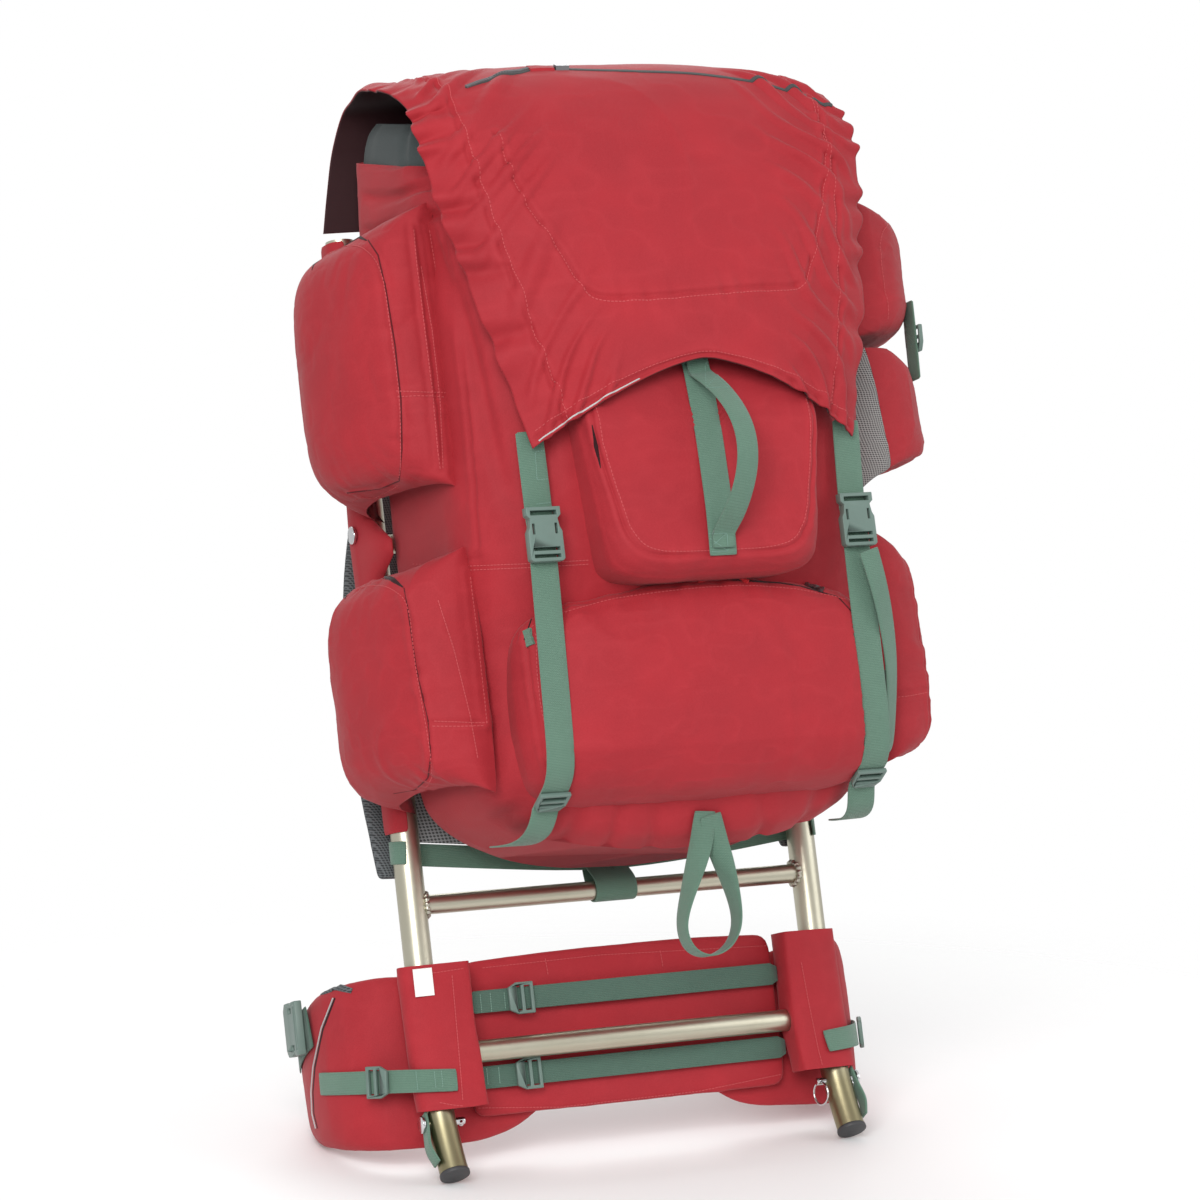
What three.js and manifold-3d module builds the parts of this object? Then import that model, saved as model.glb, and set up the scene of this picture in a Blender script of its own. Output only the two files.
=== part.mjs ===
// External frame backpack, in millimetres, +Z up.
// The pack is drawn upright in its own frame: x to its right as seen from the bag, y toward
// the wearer with the rails' axes at y = 0, z along the rails. Then the whole pack leans back
// onto the edges of its two foot caps and the lower edges of its hip belt, as it stands by itself.
import * as THREE from 'three';
import { mergeVertices } from 'three/addons/utils/BufferGeometryUtils.js';
import Module from 'manifold-3d';

const wasm = await Module();
wasm.setup();

// Driving sizes

const GAP = 0.3;
const WALL = 1.6;
const LEAN_DEG = 15.9;

const RAIL = { x: 193, radius: 12.7, top: 835, bendTop: 145, bendRadius: 340, bendDeg: 24.2, sides: 12 };
const CROSSBARS = [
  { z: 239, radius: 8.6, bow: 0, welded: true },
  { z: 107, radius: 9.8, bow: -16 },
  { z: 560, radius: 8.6, bow: 0 },
  { z: 770, radius: 8.6, bow: 0 },
];
const WELD = { radius: 13.5, length: 7 };
const CAP = { radius: 13.4, thickness: 4 };

// The bag's sections, bottom to rim
const BAG_ROWS = [
  { z: 256, half: 140, front: -178, back: -36, rise: 1.0, rim: 0 },
  { z: 267, half: 168, front: -200, back: -21, rise: 0.85, rim: 0 },
  { z: 292, half: 185, front: -215, back: -15, rise: 0.5, rim: 0 },
  { z: 330, half: 192, front: -223, back: -14.5, rise: 0.15, rim: 0 },
  { z: 400, half: 193, front: -227, back: -14.5, rise: 0, rim: 0 },
  { z: 455, half: 193, front: -238, back: -14.5, rise: 0, rim: 0 },
  { z: 505, half: 192, front: -257, back: -14.5, rise: 0, rim: 0 },
  { z: 570, half: 193, front: -267, back: -14.5, rise: 0, rim: 0 },
  { z: 650, half: 194, front: -274, back: -14.5, rise: 0, rim: 0 },
  { z: 745, half: 195, front: -272, back: -14.5, rise: 0, rim: 0 },
  { z: 820, half: 194, front: -258, back: -14.5, rise: 0, rim: 0.1 },
  { z: 870, half: 191, front: -236, back: -14.5, rise: 0, rim: 0.6 },
  { z: 908, half: 187, front: -206, back: -14.5, rise: 0, rim: 1 },
];
const BAG = { frontPower: 3.5, backPower: 8, sides: 26, riseHeight: 46, riseAt: 190, risePower: 2.4, rimSlope: 0.285 };
const COLLAR_ROWS = [
  { z: 874, inset: 3.5 },
  { z: 908, inset: 6 },
  { z: 932, inset: 12 },
  { z: 944, inset: 20 },
];

// The lid: from the back panel's hem, up and over the top, down the front to the arched hem
const LID_ROWS = [
  { midY: -12.2, midZ: 843, edgeX: 207, edgeY: 2, edgeZ: 843 },
  { midY: -12.2, midZ: 880, edgeX: 200, edgeY: 0, edgeZ: 880 },
  { midY: -8, midZ: 915, edgeX: 192, edgeY: -3, edgeZ: 917 },
  { midY: -18, midZ: 950, edgeX: 184, edgeY: -18, edgeZ: 948 },
  { midY: -62, midZ: 958, edgeX: 189, edgeY: -62, edgeZ: 948 },
  { midY: -122, midZ: 957, edgeX: 197, edgeY: -122, edgeZ: 940 },
  { midY: -180, midZ: 947, edgeX: 203, edgeY: -176, edgeZ: 922 },
  { midY: -224, midZ: 926, edgeX: 206, edgeY: -212, edgeZ: 901 },
  { midY: -254, midZ: 893, edgeX: 208, edgeY: -233, edgeZ: 871 },
  { midY: -277, midZ: 850, edgeX: 207, edgeY: -242, edgeZ: 843 },
  { midY: -292, midZ: 801, edgeX: 200, edgeY: -247, edgeZ: 801 },
  { midY: -303, midZ: 754, edgeX: 190, edgeY: -254, edgeZ: 757 },
  { midY: -309, midZ: 712, edgeX: 179, edgeY: -262, edgeZ: 706 },
  { midY: -312, midZ: 683, edgeX: 166, edgeY: -268, edgeZ: 652 },
  { midY: -311, midZ: 656, edgeX: 150, edgeY: -272, edgeZ: 590 },
];
const LID = { wall: 2, crossPower: 2.9, hemPower: 1.45, perRow: 3, plainRows: 5 };
const LID_COLUMNS = [0, 0.3, 0.55, 0.74, 0.86, 0.93, 1];
const RUFFLE = { from: 0.74, depth: 4.5, pitch: 1.15, firstRow: 4.5 };

const FLANGE = { bottom: 304, top: 832, bow: 3 };
const FLANGE_SECTION = [
  { out: 195.6, y: -16 },
  { out: 204.6, y: -12 },
  { out: 207.6, y: -2 },
  { out: 206.6, y: 11 },
];

// A side pocket's section: out from the pack's middle plane, and y
const POCKET_SECTION = [
  { out: 170, y: -28 },
  { out: 170, y: -182 },
  { out: 184, y: -199 },
  { out: 208, y: -203 },
  { out: 234, y: -192 },
  { out: 252, y: -162 },
  { out: 265, y: -118 },
  { out: 270, y: -78 },
  { out: 260, y: -42 },
  { out: 236, y: -24 },
  { out: 200, y: -22 },
];
const POCKET = { seamOut: 184, midY: -108, levels: 8, vertical: 5, horizontal: 2.2, outerDrop: 0.12 };
const SIDE_POCKETS = [
  { name: 'upper_pocket_left', side: -1, bottom: 570, top: 824, reach: 1, lift: 0.15 },
  { name: 'lower_pocket_left', side: -1, bottom: 312, top: 526, reach: 1, lift: 0.15 },
  { name: 'lower_pocket_right', side: 1, bottom: 312, top: 526, reach: 1, lift: 0.15 },
  { name: 'upper_pocket_right', side: 1, bottom: 688, top: 828, reach: 1.42, lift: 0.06 },
];
const BOTTLE = { side: 1, bottom: 546, top: 700, reach: 1.42, lift: 0.45, mouth: 682 };
// The seam between mesh and cloth lies in one slanted plane through this point of the front face
const BOTTLE_SEAM = { out: 212, y: -203, z: 680, outPerDown: 0.133, outPerForward: 0.55, gap: 0.8 };
const BOTTLE_STRAP = { y: -150, top: 734, bottom: 662, lockZ: 699 };

// The stash pocket and the lower compartment: half outlines from the bottom middle to the top
const FRONT_OUTLINE = [
  { x: 0, z: 474 },
  { x: 60, z: 475 },
  { x: 88, z: 482 },
  { x: 99, z: 502 },
  { x: 108, z: 560 },
  { x: 115, z: 620 },
  { x: 117, z: 680 },
  { x: 104, z: 700 },
  { x: 0, z: 704 },
];
const FRONT_DEPTHS = [
  { y: -225, scale: 1 },
  { y: -272, scale: 1 },
  { y: -286, scale: 0.97 },
  { y: -296, scale: 0.91 },
  { y: -300, scale: 0.8 },
  { y: -302, scale: 0.5 },
];
const FRONT = { midZ: 585, slopeFrom: 606, slope: 0.28 };
const LOWER_OUTLINE = [
  { x: 0, z: 291 },
  { x: 70, z: 292 },
  { x: 130, z: 297 },
  { x: 157, z: 313 },
  { x: 166, z: 350 },
  { x: 167, z: 400 },
  { x: 162, z: 436 },
  { x: 140, z: 458 },
  { x: 80, z: 474 },
  { x: 0, z: 482 },
];
const LOWER_DEPTHS = [
  { y: -175, scale: 1 },
  { y: -214, scale: 1 },
  { y: -238, scale: 0.955 },
  { y: -253, scale: 0.87 },
  { y: -262, scale: 0.7 },
  { y: -266, scale: 0.4 },
];
const LOWER = { midZ: 385, slopeFrom: 335, slope: -0.3 };

// Webbing and its fittings
const WEB = { wide: 25, narrow: 20, thickness: 1.6 };
const SIDE_BUCKLE = { halfWidth: 15.5, height: 46, thickness: 8.5, x: 147, y: -268, z: 518 };
const LADDER = { halfWidth: 14, height: 24, thickness: 4 };
const STRAP_TOP = { x: 149, y: -265.5, z: 606 };
const STRAP_FOOT = { x: 149, z: 299 };
const HANDLE = { top: 646, bottom: 506, steps: 14, bulge: 50, drift: 10 };
const HAUL = { z: 283, drop: 126 };

// The free loop of webbing hanging from the right buckle
const LOOP_ROUTE = [
  { x: 151, y: -275, z: 490, nx: 0.1, ny: -1, nz: 0 },
  { x: 162, y: -268, z: 450, nx: 0.3, ny: -1, nz: 0 },
  { x: 174, y: -249, z: 402, nx: 0.5, ny: -0.9, nz: 0 },
  { x: 177, y: -233, z: 360, nx: 0.6, ny: -0.8, nz: 0 },
  { x: 175.5, y: -223, z: 330, nx: 0.6, ny: -0.8, nz: 0 },
  { x: 172.5, y: -217.5, z: 321, nx: 0.3, ny: -0.3, nz: -0.9 },
  { x: 170, y: -214, z: 327, nx: -0.6, ny: 0.8, nz: -0.2 },
  { x: 170.5, y: -218, z: 342, nx: -0.6, ny: 0.8, nz: 0 },
  { x: 171.5, y: -226, z: 364, nx: -0.6, ny: 0.8, nz: 0 },
  { x: 171.5, y: -237, z: 390, nx: -0.5, ny: 0.9, nz: 0 },
];

// The hip belt
const PANEL = { bottom: 51, top: 186, crown: 5, y: 15.5, thickness: 10 };
const SLEEVE = { inner: 41, outer: 20, front: -15.5, back: 15.5, slant: 8, bottom: 60, top: 186 };
const WING_ROUTE = [
  { x: 78, y: 21.8, low: 56, high: 138, thick: 12 },
  { x: 115, y: 24.3, low: 36, high: 158, thick: 17 },
  { x: 160, y: 24.5, low: 30, high: 172, thick: 17 },
  { x: 205, y: 27.5, low: 29, high: 181, thick: 18 },
  { x: 236, y: 48, low: 31, high: 181, thick: 20 },
  { x: 250, y: 92, low: 37, high: 176, thick: 20 },
  { x: 247, y: 142, low: 43.4, high: 164, thick: 19 },
  { x: 230, y: 194, low: 58.6, high: 146, thick: 17 },
  { x: 202, y: 236, low: 84, high: 128, thick: 13 },
];
const LUMBAR_STRAPS = [
  { name: 'lumbar_strap_upper', lock: 'lumbar_lock_upper', z: 150, y: -2 },
  { name: 'lumbar_strap_lower', lock: 'lumbar_lock_lower', z: 84, y: -1 },
];
const PIN = { z: 49, radius: 3.2, headRadius: 7.5, headThickness: 2.4, outer: 17.5, inner: 21 };
const RING = { radius: 10.5, wire: 1.1, turn: 0.2, from: 3.4 };
const TAB = { width: 14, thickness: 2, gap: 13.6 };
const BAG_PIN = { y: -2, z: 569, radius: 8, thickness: 3 };
const LABEL = { x: 197, width: 17, height: 24, z: 171, thickness: 0.5 };

// The mesh band's lower edge, which the webbing follows and wraps round the rails
const BAND = { top: 400, y: 14.6, tab: 40, tabTop: 279, tabGap: 2.6 };
const BAND_EDGE = [
  { x: -199, y: -14.2, z: 285, nx: -0.4, ny: -0.9, nz: 0, cloth: 0 },
  { x: -207.2, y: -5, z: 286, nx: -0.9, ny: -0.3, nz: 0, cloth: 0 },
  { x: -206.5, y: 7, z: 287, nx: -0.85, ny: 0.5, nz: 0, cloth: 0 },
  { x: -200.5, y: 13.6, z: 287, nx: -0.4, ny: 0.9, nz: 0, cloth: 1 },
  { x: -190, y: 15, z: 286, nx: 0, ny: 1, nz: 0, cloth: 1 },
  { x: -90, y: 15, z: 275, nx: 0, ny: 1, nz: 0, cloth: 1 },
  { x: 0, y: 15, z: 266, nx: 0, ny: 1, nz: 0, cloth: 1 },
  { x: 90, y: 15, z: 271, nx: 0, ny: 1, nz: 0, cloth: 1 },
  { x: 190, y: 15, z: 282, nx: 0, ny: 1, nz: 0, cloth: 1 },
  { x: 200.5, y: 13.6, z: 283, nx: 0.4, ny: 0.9, nz: 0, cloth: 1 },
  { x: 206.5, y: 7, z: 283, nx: 0.85, ny: 0.5, nz: 0, cloth: 0 },
  { x: 207.2, y: -5, z: 282, nx: 0.9, ny: -0.3, nz: 0, cloth: 0 },
  { x: 199, y: -14.2, z: 281, nx: 0.4, ny: -0.9, nz: 0, cloth: 0 },
];
const WING_STRAP = [
  { x: 180, y: -27.5, z: 84, nx: 0.16, ny: -1, nz: 0.25 },
  { x: 207, y: -23.4, z: 86, nx: 0.35, ny: -0.9, nz: 0.2 },
  { x: 222, y: -8, z: 88, nx: 0.85, ny: -0.5, nz: 0.05 },
  { x: 246.2, y: 41, z: 92, nx: 0.9, ny: -0.4, nz: 0 },
  { x: 256.2, y: 66, z: 94, nx: 0.95, ny: -0.3, nz: 0 },
  { x: 261.5, y: 92, z: 96, nx: 1, ny: -0.05, nz: 0 },
];
// Along the wing's outer face, at these distances towards the wearer
const BELT = { webbing: 38, buckle: 7, z: 148, endZ: 128, from: 104, to: 182, buckleFrom: 110, buckleTo: 160 };
const BUCKLE_OUTLINE = [
  [-24, 28], [-24, 12], [-21, 6], [-24, -2], [-24, -20], [-18, -27], [18, -27], [24, -20], [24, -2], [21, 6],
  [24, 12], [24, 28],
];

// Colours by eye
const COLOURS = {
  red: 0xb22d34,
  dark_red: 0x8f252c,
  green: 0x62857a,
  buckle: 0x7a9288,
  aluminium: 0xbdb9a0,
  cap: 0x3c3c3e,
  grey: 0x545b5b,
  zip: 0x6e6e70,
  mesh: 0x3a3d3e,
  chrome: 0xd8d8d8,
  white: 0xf0f0ee,
};

const leanAngle = THREE.MathUtils.degToRad(LEAN_DEG);
const DOWN = new THREE.Vector3(0, Math.sin(leanAngle), -Math.cos(leanAngle));
const pack = new THREE.Group();
const solids = {};

// Solids and meshes

const vec = (x, y, z) => new THREE.Vector3(x, y, z);

function bodyFrom(points, triangles) {
  const geometry = new THREE.BufferGeometry();
  const numbers = points.flatMap((point) => [point.x, point.y, point.z]);
  geometry.setAttribute('position', new THREE.Float32BufferAttribute(numbers, 3));
  let volume = 0;
  for (const [a, b, c] of triangles) {
    volume += points[a].dot(vec(0, 0, 0).crossVectors(points[b], points[c]));
  }
  const outward = volume >= 0 ? triangles : triangles.map(([a, b, c]) => [a, c, b]);
  geometry.setIndex(outward.flat());
  return geometry;
}

function toSolid(geometry) {
  const bare = geometry.clone();
  bare.deleteAttribute('normal');
  bare.deleteAttribute('uv');
  const merged = mergeVertices(bare, 1e-4);
  const mesh = new wasm.Mesh({
    numProp: 3,
    vertProperties: Float32Array.from(merged.attributes.position.array),
    triVerts: Uint32Array.from(merged.index.array),
  });
  return new wasm.Manifold(mesh);
}

function toGeometry(solid) {
  const mesh = solid.getMesh();
  const geometry = new THREE.BufferGeometry();
  geometry.setAttribute('position', new THREE.Float32BufferAttribute(mesh.vertProperties, 3));
  geometry.setIndex(Array.from(mesh.triVerts));
  return geometry;
}

function add(name, shape, colour, roughness = 0.85, metalness = 0) {
  const geometry = toGeometry(shape.isBufferGeometry ? toSolid(shape) : shape);
  geometry.computeVertexNormals();
  const material = new THREE.MeshStandardMaterial({ color: COLOURS[colour], roughness, metalness });
  const mesh = new THREE.Mesh(geometry, material);
  mesh.name = name;
  pack.add(mesh);
  solids[name] = mesh;
  return mesh;
}

// A closed body through rings of as many points each, with its ends capped
function loft(rings) {
  const count = rings[0].length;
  const points = rings.flat();
  const triangles = [];
  for (let row = 0; row + 1 < rings.length; row += 1) {
    for (let k = 0; k < count; k += 1) {
      const a = row * count + k;
      const b = row * count + ((k + 1) % count);
      triangles.push([a, b, b + count], [a, b + count, a + count]);
    }
  }
  for (const row of [0, rings.length - 1]) {
    const middle = vec(0, 0, 0);
    rings[row].forEach((point) => middle.addScaledVector(point, 1 / count));
    points.push(middle);
    for (let k = 0; k < count; k += 1) {
      const a = row * count + k;
      const b = row * count + ((k + 1) % count);
      triangles.push(row === 0 ? [b, a, points.length - 1] : [a, b, points.length - 1]);
    }
  }
  return bodyFrom(points, triangles);
}

// A sheet of cloth with its outer face on a grid of points
function sheet(grid, thickness) {
  const rows = grid.length;
  const columns = grid[0].length;
  const inner = grid.map((line, row) => line.map((point, k) => {
    const [ahead, behind] = [grid[Math.min(row + 1, rows - 1)][k], grid[Math.max(row - 1, 0)][k]];
    const along = ahead.clone().sub(behind);
    const across = vec(0, 0, 0).subVectors(line[Math.min(k + 1, columns - 1)], line[Math.max(k - 1, 0)]);
    return point.clone().addScaledVector(across.cross(along).normalize(), thickness);
  }));
  const points = [...grid.flat(), ...inner.flat()];
  const under = rows * columns;
  const at = (row, k) => row * columns + k;
  const triangles = [];
  const wall = (a, b) => triangles.push([b, a, a + under], [b, a + under, b + under]);
  for (let row = 0; row + 1 < rows; row += 1) {
    for (let k = 0; k + 1 < columns; k += 1) {
      const [a, b, c, d] = [at(row, k), at(row, k + 1), at(row + 1, k + 1), at(row + 1, k)];
      triangles.push([a, b, c], [a, c, d]);
      triangles.push([under + c, under + b, under + a], [under + d, under + c, under + a]);
    }
    wall(at(row + 1, 0), at(row, 0));
    wall(at(row, columns - 1), at(row + 1, columns - 1));
  }
  for (let k = 0; k + 1 < columns; k += 1) {
    wall(at(0, k), at(0, k + 1));
    wall(at(rows - 1, k + 1), at(rows - 1, k));
  }
  return bodyFrom(points, triangles);
}

// Even samples of a smooth route; each row of the table keeps all its columns
function smoothRows(rows, perSpan) {
  const keys = Object.keys(rows[0]);
  const out = [];
  for (let k = 0; k + 1 < rows.length; k += 1) {
    const four = [rows[Math.max(k - 1, 0)], rows[k], rows[k + 1], rows[Math.min(k + 2, rows.length - 1)]];
    for (let step = 0; step < perSpan; step += 1) {
      const t = step / perSpan;
      out.push(Object.fromEntries(keys.map((key) => [key, catmull(four.map((row) => row[key]), t)])));
    }
  }
  out.push({ ...rows[rows.length - 1] });
  return out;
}

function catmull([p0, p1, p2, p3], t) {
  const linear = (p2 - p0) * t;
  const square = (2 * p0 - 5 * p1 + 4 * p2 - p3) * t * t;
  const cube = (3 * p1 - p0 - 3 * p2 + p3) * t * t * t;
  return 0.5 * (2 * p1 + linear + square + cube);
}

// Flat webbing along a route; each point also holds the way its face looks
function ribbon(route, width, thickness, perSpan = 4) {
  const stations = smoothRows(route, perSpan);
  const place = (row) => vec(row.x, row.y, row.z);
  const rings = stations.map((row, k) => {
    const before = place(stations[Math.max(k - 1, 0)]);
    const after = place(stations[Math.min(k + 1, stations.length - 1)]);
    const along = after.sub(before).normalize();
    const face = vec(row.nx, row.ny, row.nz);
    const across = vec(0, 0, 0).crossVectors(along, face).normalize();
    face.crossVectors(across, along).normalize();
    const corner = (a, b) => place(row)
      .addScaledVector(across, (a * width) / 2)
      .addScaledVector(face, (b * thickness) / 2);
    return [corner(-1, -1), corner(1, -1), corner(1, 1), corner(-1, 1)];
  });
  return loft(rings);
}

const facing = (x, y, z, nx, ny, nz) => ({ x, y, z, nx, ny, nz });
const mirrored = (route, side) => route.map((row) => ({ ...row, x: row.x * side, nx: (row.nx ?? 0) * side }));

function roundBar(points, radius, sides, up, ways = []) {
  const rings = points.map((point, k) => {
    const before = points[Math.max(k - 1, 0)];
    const after = points[Math.min(k + 1, points.length - 1)];
    const along = ways[k] ?? vec(0, 0, 0).subVectors(after, before).normalize();
    const across = vec(0, 0, 0).crossVectors(along, up).normalize();
    const other = vec(0, 0, 0).crossVectors(across, along).normalize();
    return Array.from({ length: sides }, (_, n) => {
      const angle = (2 * Math.PI * (n + 0.5)) / sides;
      return point.clone()
        .addScaledVector(across, radius * Math.cos(angle))
        .addScaledVector(other, radius * Math.sin(angle));
    });
  });
  return loft(rings);
}

// A plate cut from an outline, with oblong windows, centred on its thickness
function plate(outline, windows, thickness) {
  const shape = new THREE.Shape(outline.map(([x, y]) => new THREE.Vector2(x, y)));
  const blank = new THREE.ExtrudeGeometry(shape, { depth: thickness, bevelEnabled: false });
  blank.translate(0, 0, -thickness / 2);
  let solid = toSolid(blank);
  for (const { x0, y0, x1, y1 } of windows) {
    const hole = new THREE.BoxGeometry(x1 - x0, y1 - y0, thickness * 2);
    hole.translate((x0 + x1) / 2, (y0 + y1) / 2, 0);
    solid = solid.subtract(toSolid(hole));
  }
  return toGeometry(solid);
}

const windowOf = (x0, y0, x1, y1) => ({ x0, y0, x1, y1 });

// Turns a plate so that its face looks along a way and its height runs up another
function turned(geometry, at, face, up) {
  const z = face.clone().normalize();
  const x = vec(0, 0, 0).crossVectors(up, z).normalize();
  const y = vec(0, 0, 0).crossVectors(z, x);
  return geometry.clone().applyMatrix4(new THREE.Matrix4().makeBasis(x, y, z).setPosition(at));
}

// The frame

function railPoint(height) {
  const straight = height >= RAIL.bendTop;
  if (straight) return { y: 0, z: height, angle: 0 };
  const angle = Math.asin(Math.min((RAIL.bendTop - height) / RAIL.bendRadius, 1));
  return { y: -RAIL.bendRadius * (1 - Math.cos(angle)), z: height, angle };
}

const bendEnd = THREE.MathUtils.degToRad(RAIL.bendDeg);
const FOOT = {
  y: -RAIL.bendRadius * (1 - Math.cos(bendEnd)),
  z: RAIL.bendTop - RAIL.bendRadius * Math.sin(bendEnd),
};
const FOOT_WAY = vec(0, -Math.sin(bendEnd), -Math.cos(bendEnd));

function rail(side) {
  const points = [vec(side * RAIL.x, 0, RAIL.top)];
  const ways = [vec(0, 0, -1)];
  const steps = 7;
  for (let k = 0; k <= steps; k += 1) {
    const angle = (bendEnd * k) / steps;
    const y = -RAIL.bendRadius * (1 - Math.cos(angle));
    points.push(vec(side * RAIL.x, y, RAIL.bendTop - RAIL.bendRadius * Math.sin(angle)));
    ways.push(vec(0, -Math.sin(angle), -Math.cos(angle)));
  }
  return roundBar(points, RAIL.radius, RAIL.sides, vec(1, 0, 0), ways);
}

function crossbar(bar) {
  const steps = bar.bow === 0 ? 1 : 6;
  const start = railPoint(bar.z).y;
  const points = Array.from({ length: steps + 1 }, (_, k) => {
    const t = -1 + (2 * k) / steps;
    return vec(t * RAIL.x, start + bar.bow * (1 - t * t), bar.z);
  });
  return roundBar(points, bar.radius, 12, vec(0, 0, 1));
}

function weld(bar, side) {
  const start = railPoint(bar.z).y;
  const inner = side * (RAIL.x - RAIL.radius);
  const ends = [[RAIL.radius - 2, WELD.radius - 2], [0, bar.radius + 3.2], [-WELD.length, bar.radius + 0.2]];
  const rings = ends.map(([out, radius]) => Array.from({ length: 12 }, (_, n) => {
    const angle = (2 * Math.PI * (n + 0.5)) / 12;
    return vec(inner + side * out, start + radius * Math.cos(angle) * 0.8, bar.z + radius * Math.sin(angle));
  }));
  return loft(rings);
}

function pinShank(side, radius, from, to) {
  const y = railPoint(PIN.z).y;
  return roundBar([vec(side * from, y, PIN.z), vec(side * to, y, PIN.z)], radius, 10, vec(0, 0, 1));
}

function frameSolid() {
  let body = toSolid(rail(-1)).add(toSolid(rail(1)));
  for (const bar of CROSSBARS) {
    body = body.add(toSolid(crossbar(bar)));
    if (bar.welded) body = body.add(toSolid(weld(bar, -1))).add(toSolid(weld(bar, 1)));
  }
  for (const side of [-1, 1]) {
    body = body.subtract(toSolid(pinShank(side, PIN.radius + GAP, RAIL.x - 30, RAIL.x + 30)));
  }
  return body;
}

function footCap(side) {
  const start = vec(side * RAIL.x, FOOT.y, FOOT.z).addScaledVector(FOOT_WAY, GAP);
  const end = start.clone().addScaledVector(FOOT_WAY, CAP.thickness);
  return roundBar([start, end], CAP.radius, 20, vec(1, 0, 0));
}

// The bag

function bagRing(row, grow) {
  const middle = (row.front + row.back) / 2;
  const depth = (row.back - row.front) / 2 + grow;
  const half = row.half + grow;
  return Array.from({ length: BAG.sides }, (_, k) => {
    const angle = (2 * Math.PI * (k + 0.5)) / BAG.sides;
    const power = 2 / (Math.sin(angle) > 0 ? BAG.backPower : BAG.frontPower);
    const x = half * Math.sign(Math.cos(angle)) * Math.abs(Math.cos(angle)) ** power;
    const y = middle + depth * Math.sign(Math.sin(angle)) * Math.abs(Math.sin(angle)) ** power;
    const rise = row.rise * BAG.riseHeight * (Math.abs(x) / BAG.riseAt) ** BAG.risePower;
    return vec(x, y, row.z + rise + row.rim * BAG.rimSlope * y);
  });
}

function bagBlock(grow, extraTop) {
  const rings = BAG_ROWS.map((row, k) => bagRing({ ...row, z: row.z - (k === 0 ? grow : 0) }, grow));
  const last = BAG_ROWS[BAG_ROWS.length - 1];
  if (extraTop > 0) rings.push(bagRing({ ...last, z: last.z + extraTop }, grow));
  return toSolid(loft(rings));
}

function collarBlock(grow, extra) {
  const last = BAG_ROWS[BAG_ROWS.length - 1];
  const rows = COLLAR_ROWS.map((row) => ({ ...last, z: row.z, inset: row.inset }));
  rows[0].z -= extra;
  rows[rows.length - 1].z += extra;
  return toSolid(loft(rows.map((row) => bagRing(row, grow - row.inset))));
}

// The lid

const lidSamples = smoothRows(LID_ROWS, LID.perRow);

function lidPoint(rowAt, s) {
  const row = lidSamples[Math.round(rowAt * LID.perRow)];
  const share = Math.abs(s) ** LID.crossPower;
  const last = LID_ROWS.length - 1;
  const hem = Math.abs(s) ** LID.hemPower;
  const blend = Math.max(0, (rowAt - (last - 2)) / 2);
  const lift = share + (hem - share) * blend;
  const y = row.midY + (row.edgeY - row.midY) * share;
  const point = vec(s * row.edgeX, y, row.midZ + (row.edgeZ - row.midZ) * lift);
  const reach = Math.max(0, (Math.abs(s) - RUFFLE.from) / (1 - RUFFLE.from));
  const wave = Math.sin((2 * Math.PI * (rowAt - RUFFLE.firstRow)) / RUFFLE.pitch);
  const along = rowAt > RUFFLE.firstRow && rowAt < last - 0.4 ? wave * RUFFLE.depth * reach : 0;
  point.x += Math.sign(s) * along * 0.5;
  point.y -= along * 0.8;
  return point;
}

function lidColumns() {
  return [...LID_COLUMNS.slice(1).reverse().map((s) => -s), ...LID_COLUMNS];
}

function lidGrid() {
  const last = (LID_ROWS.length - 1) * LID.perRow;
  const steps = Array.from({ length: last + 1 }, (_, k) => k);
  const kept = steps.filter((k) => k >= LID.plainRows * LID.perRow || k % LID.perRow === 0);
  return kept.map((k) => lidColumns().map((s) => lidPoint(k / LID.perRow, s)));
}

// The strip of cloth that covers each rail's outer side

function flangeGrid(side) {
  const levels = 6;
  return Array.from({ length: levels }, (_, k) => {
    const t = k / (levels - 1);
    const z = FLANGE.bottom + (FLANGE.top - FLANGE.bottom) * t;
    const bow = FLANGE.bow * Math.sin(Math.PI * t) ** 2;
    const line = FLANGE_SECTION.map(({ out, y }) => vec(side * (out + bow), y, z));
    return side > 0 ? line.reverse() : line;
  });
}

// Pockets

function pocketRing(pocket, t, inset) {
  const k = (1 - Math.abs(t) ** POCKET.vertical) ** (1 / POCKET.horizontal);
  const half = (pocket.top - pocket.bottom) / 2 - inset;
  const z = (pocket.top + pocket.bottom) / 2 + half * t;
  return POCKET_SECTION.map((point) => {
    const beyond = Math.max(0, point.out - POCKET.seamOut) * pocket.reach;
    const out = Math.min(point.out, POCKET.seamOut) + Math.max(0, beyond - inset) * (0.12 + 0.88 * k);
    const y = POCKET.midY + (point.y - POCKET.midY) * (1 - inset / 88) * (0.9 + 0.1 * k);
    const drop = beyond * t * t * (t > 0 ? POCKET.outerDrop : -pocket.lift);
    return vec(pocket.side * out, y, z - drop);
  });
}

function pocketBlock(pocket, inset) {
  const last = POCKET.levels - 1;
  const rings = Array.from({ length: POCKET.levels }, (_, n) => {
    const t = -Math.cos((Math.PI * n) / last);
    return pocketRing(pocket, 0.985 * t, inset);
  });
  return toSolid(loft(rings));
}

const bagCut = bagBlock(GAP, 60);

function pocketShell(pocket) {
  const inner = pocketBlock(pocket, WALL);
  return pocketBlock(pocket, 0).subtract(inner).subtract(bagCut);
}

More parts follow.
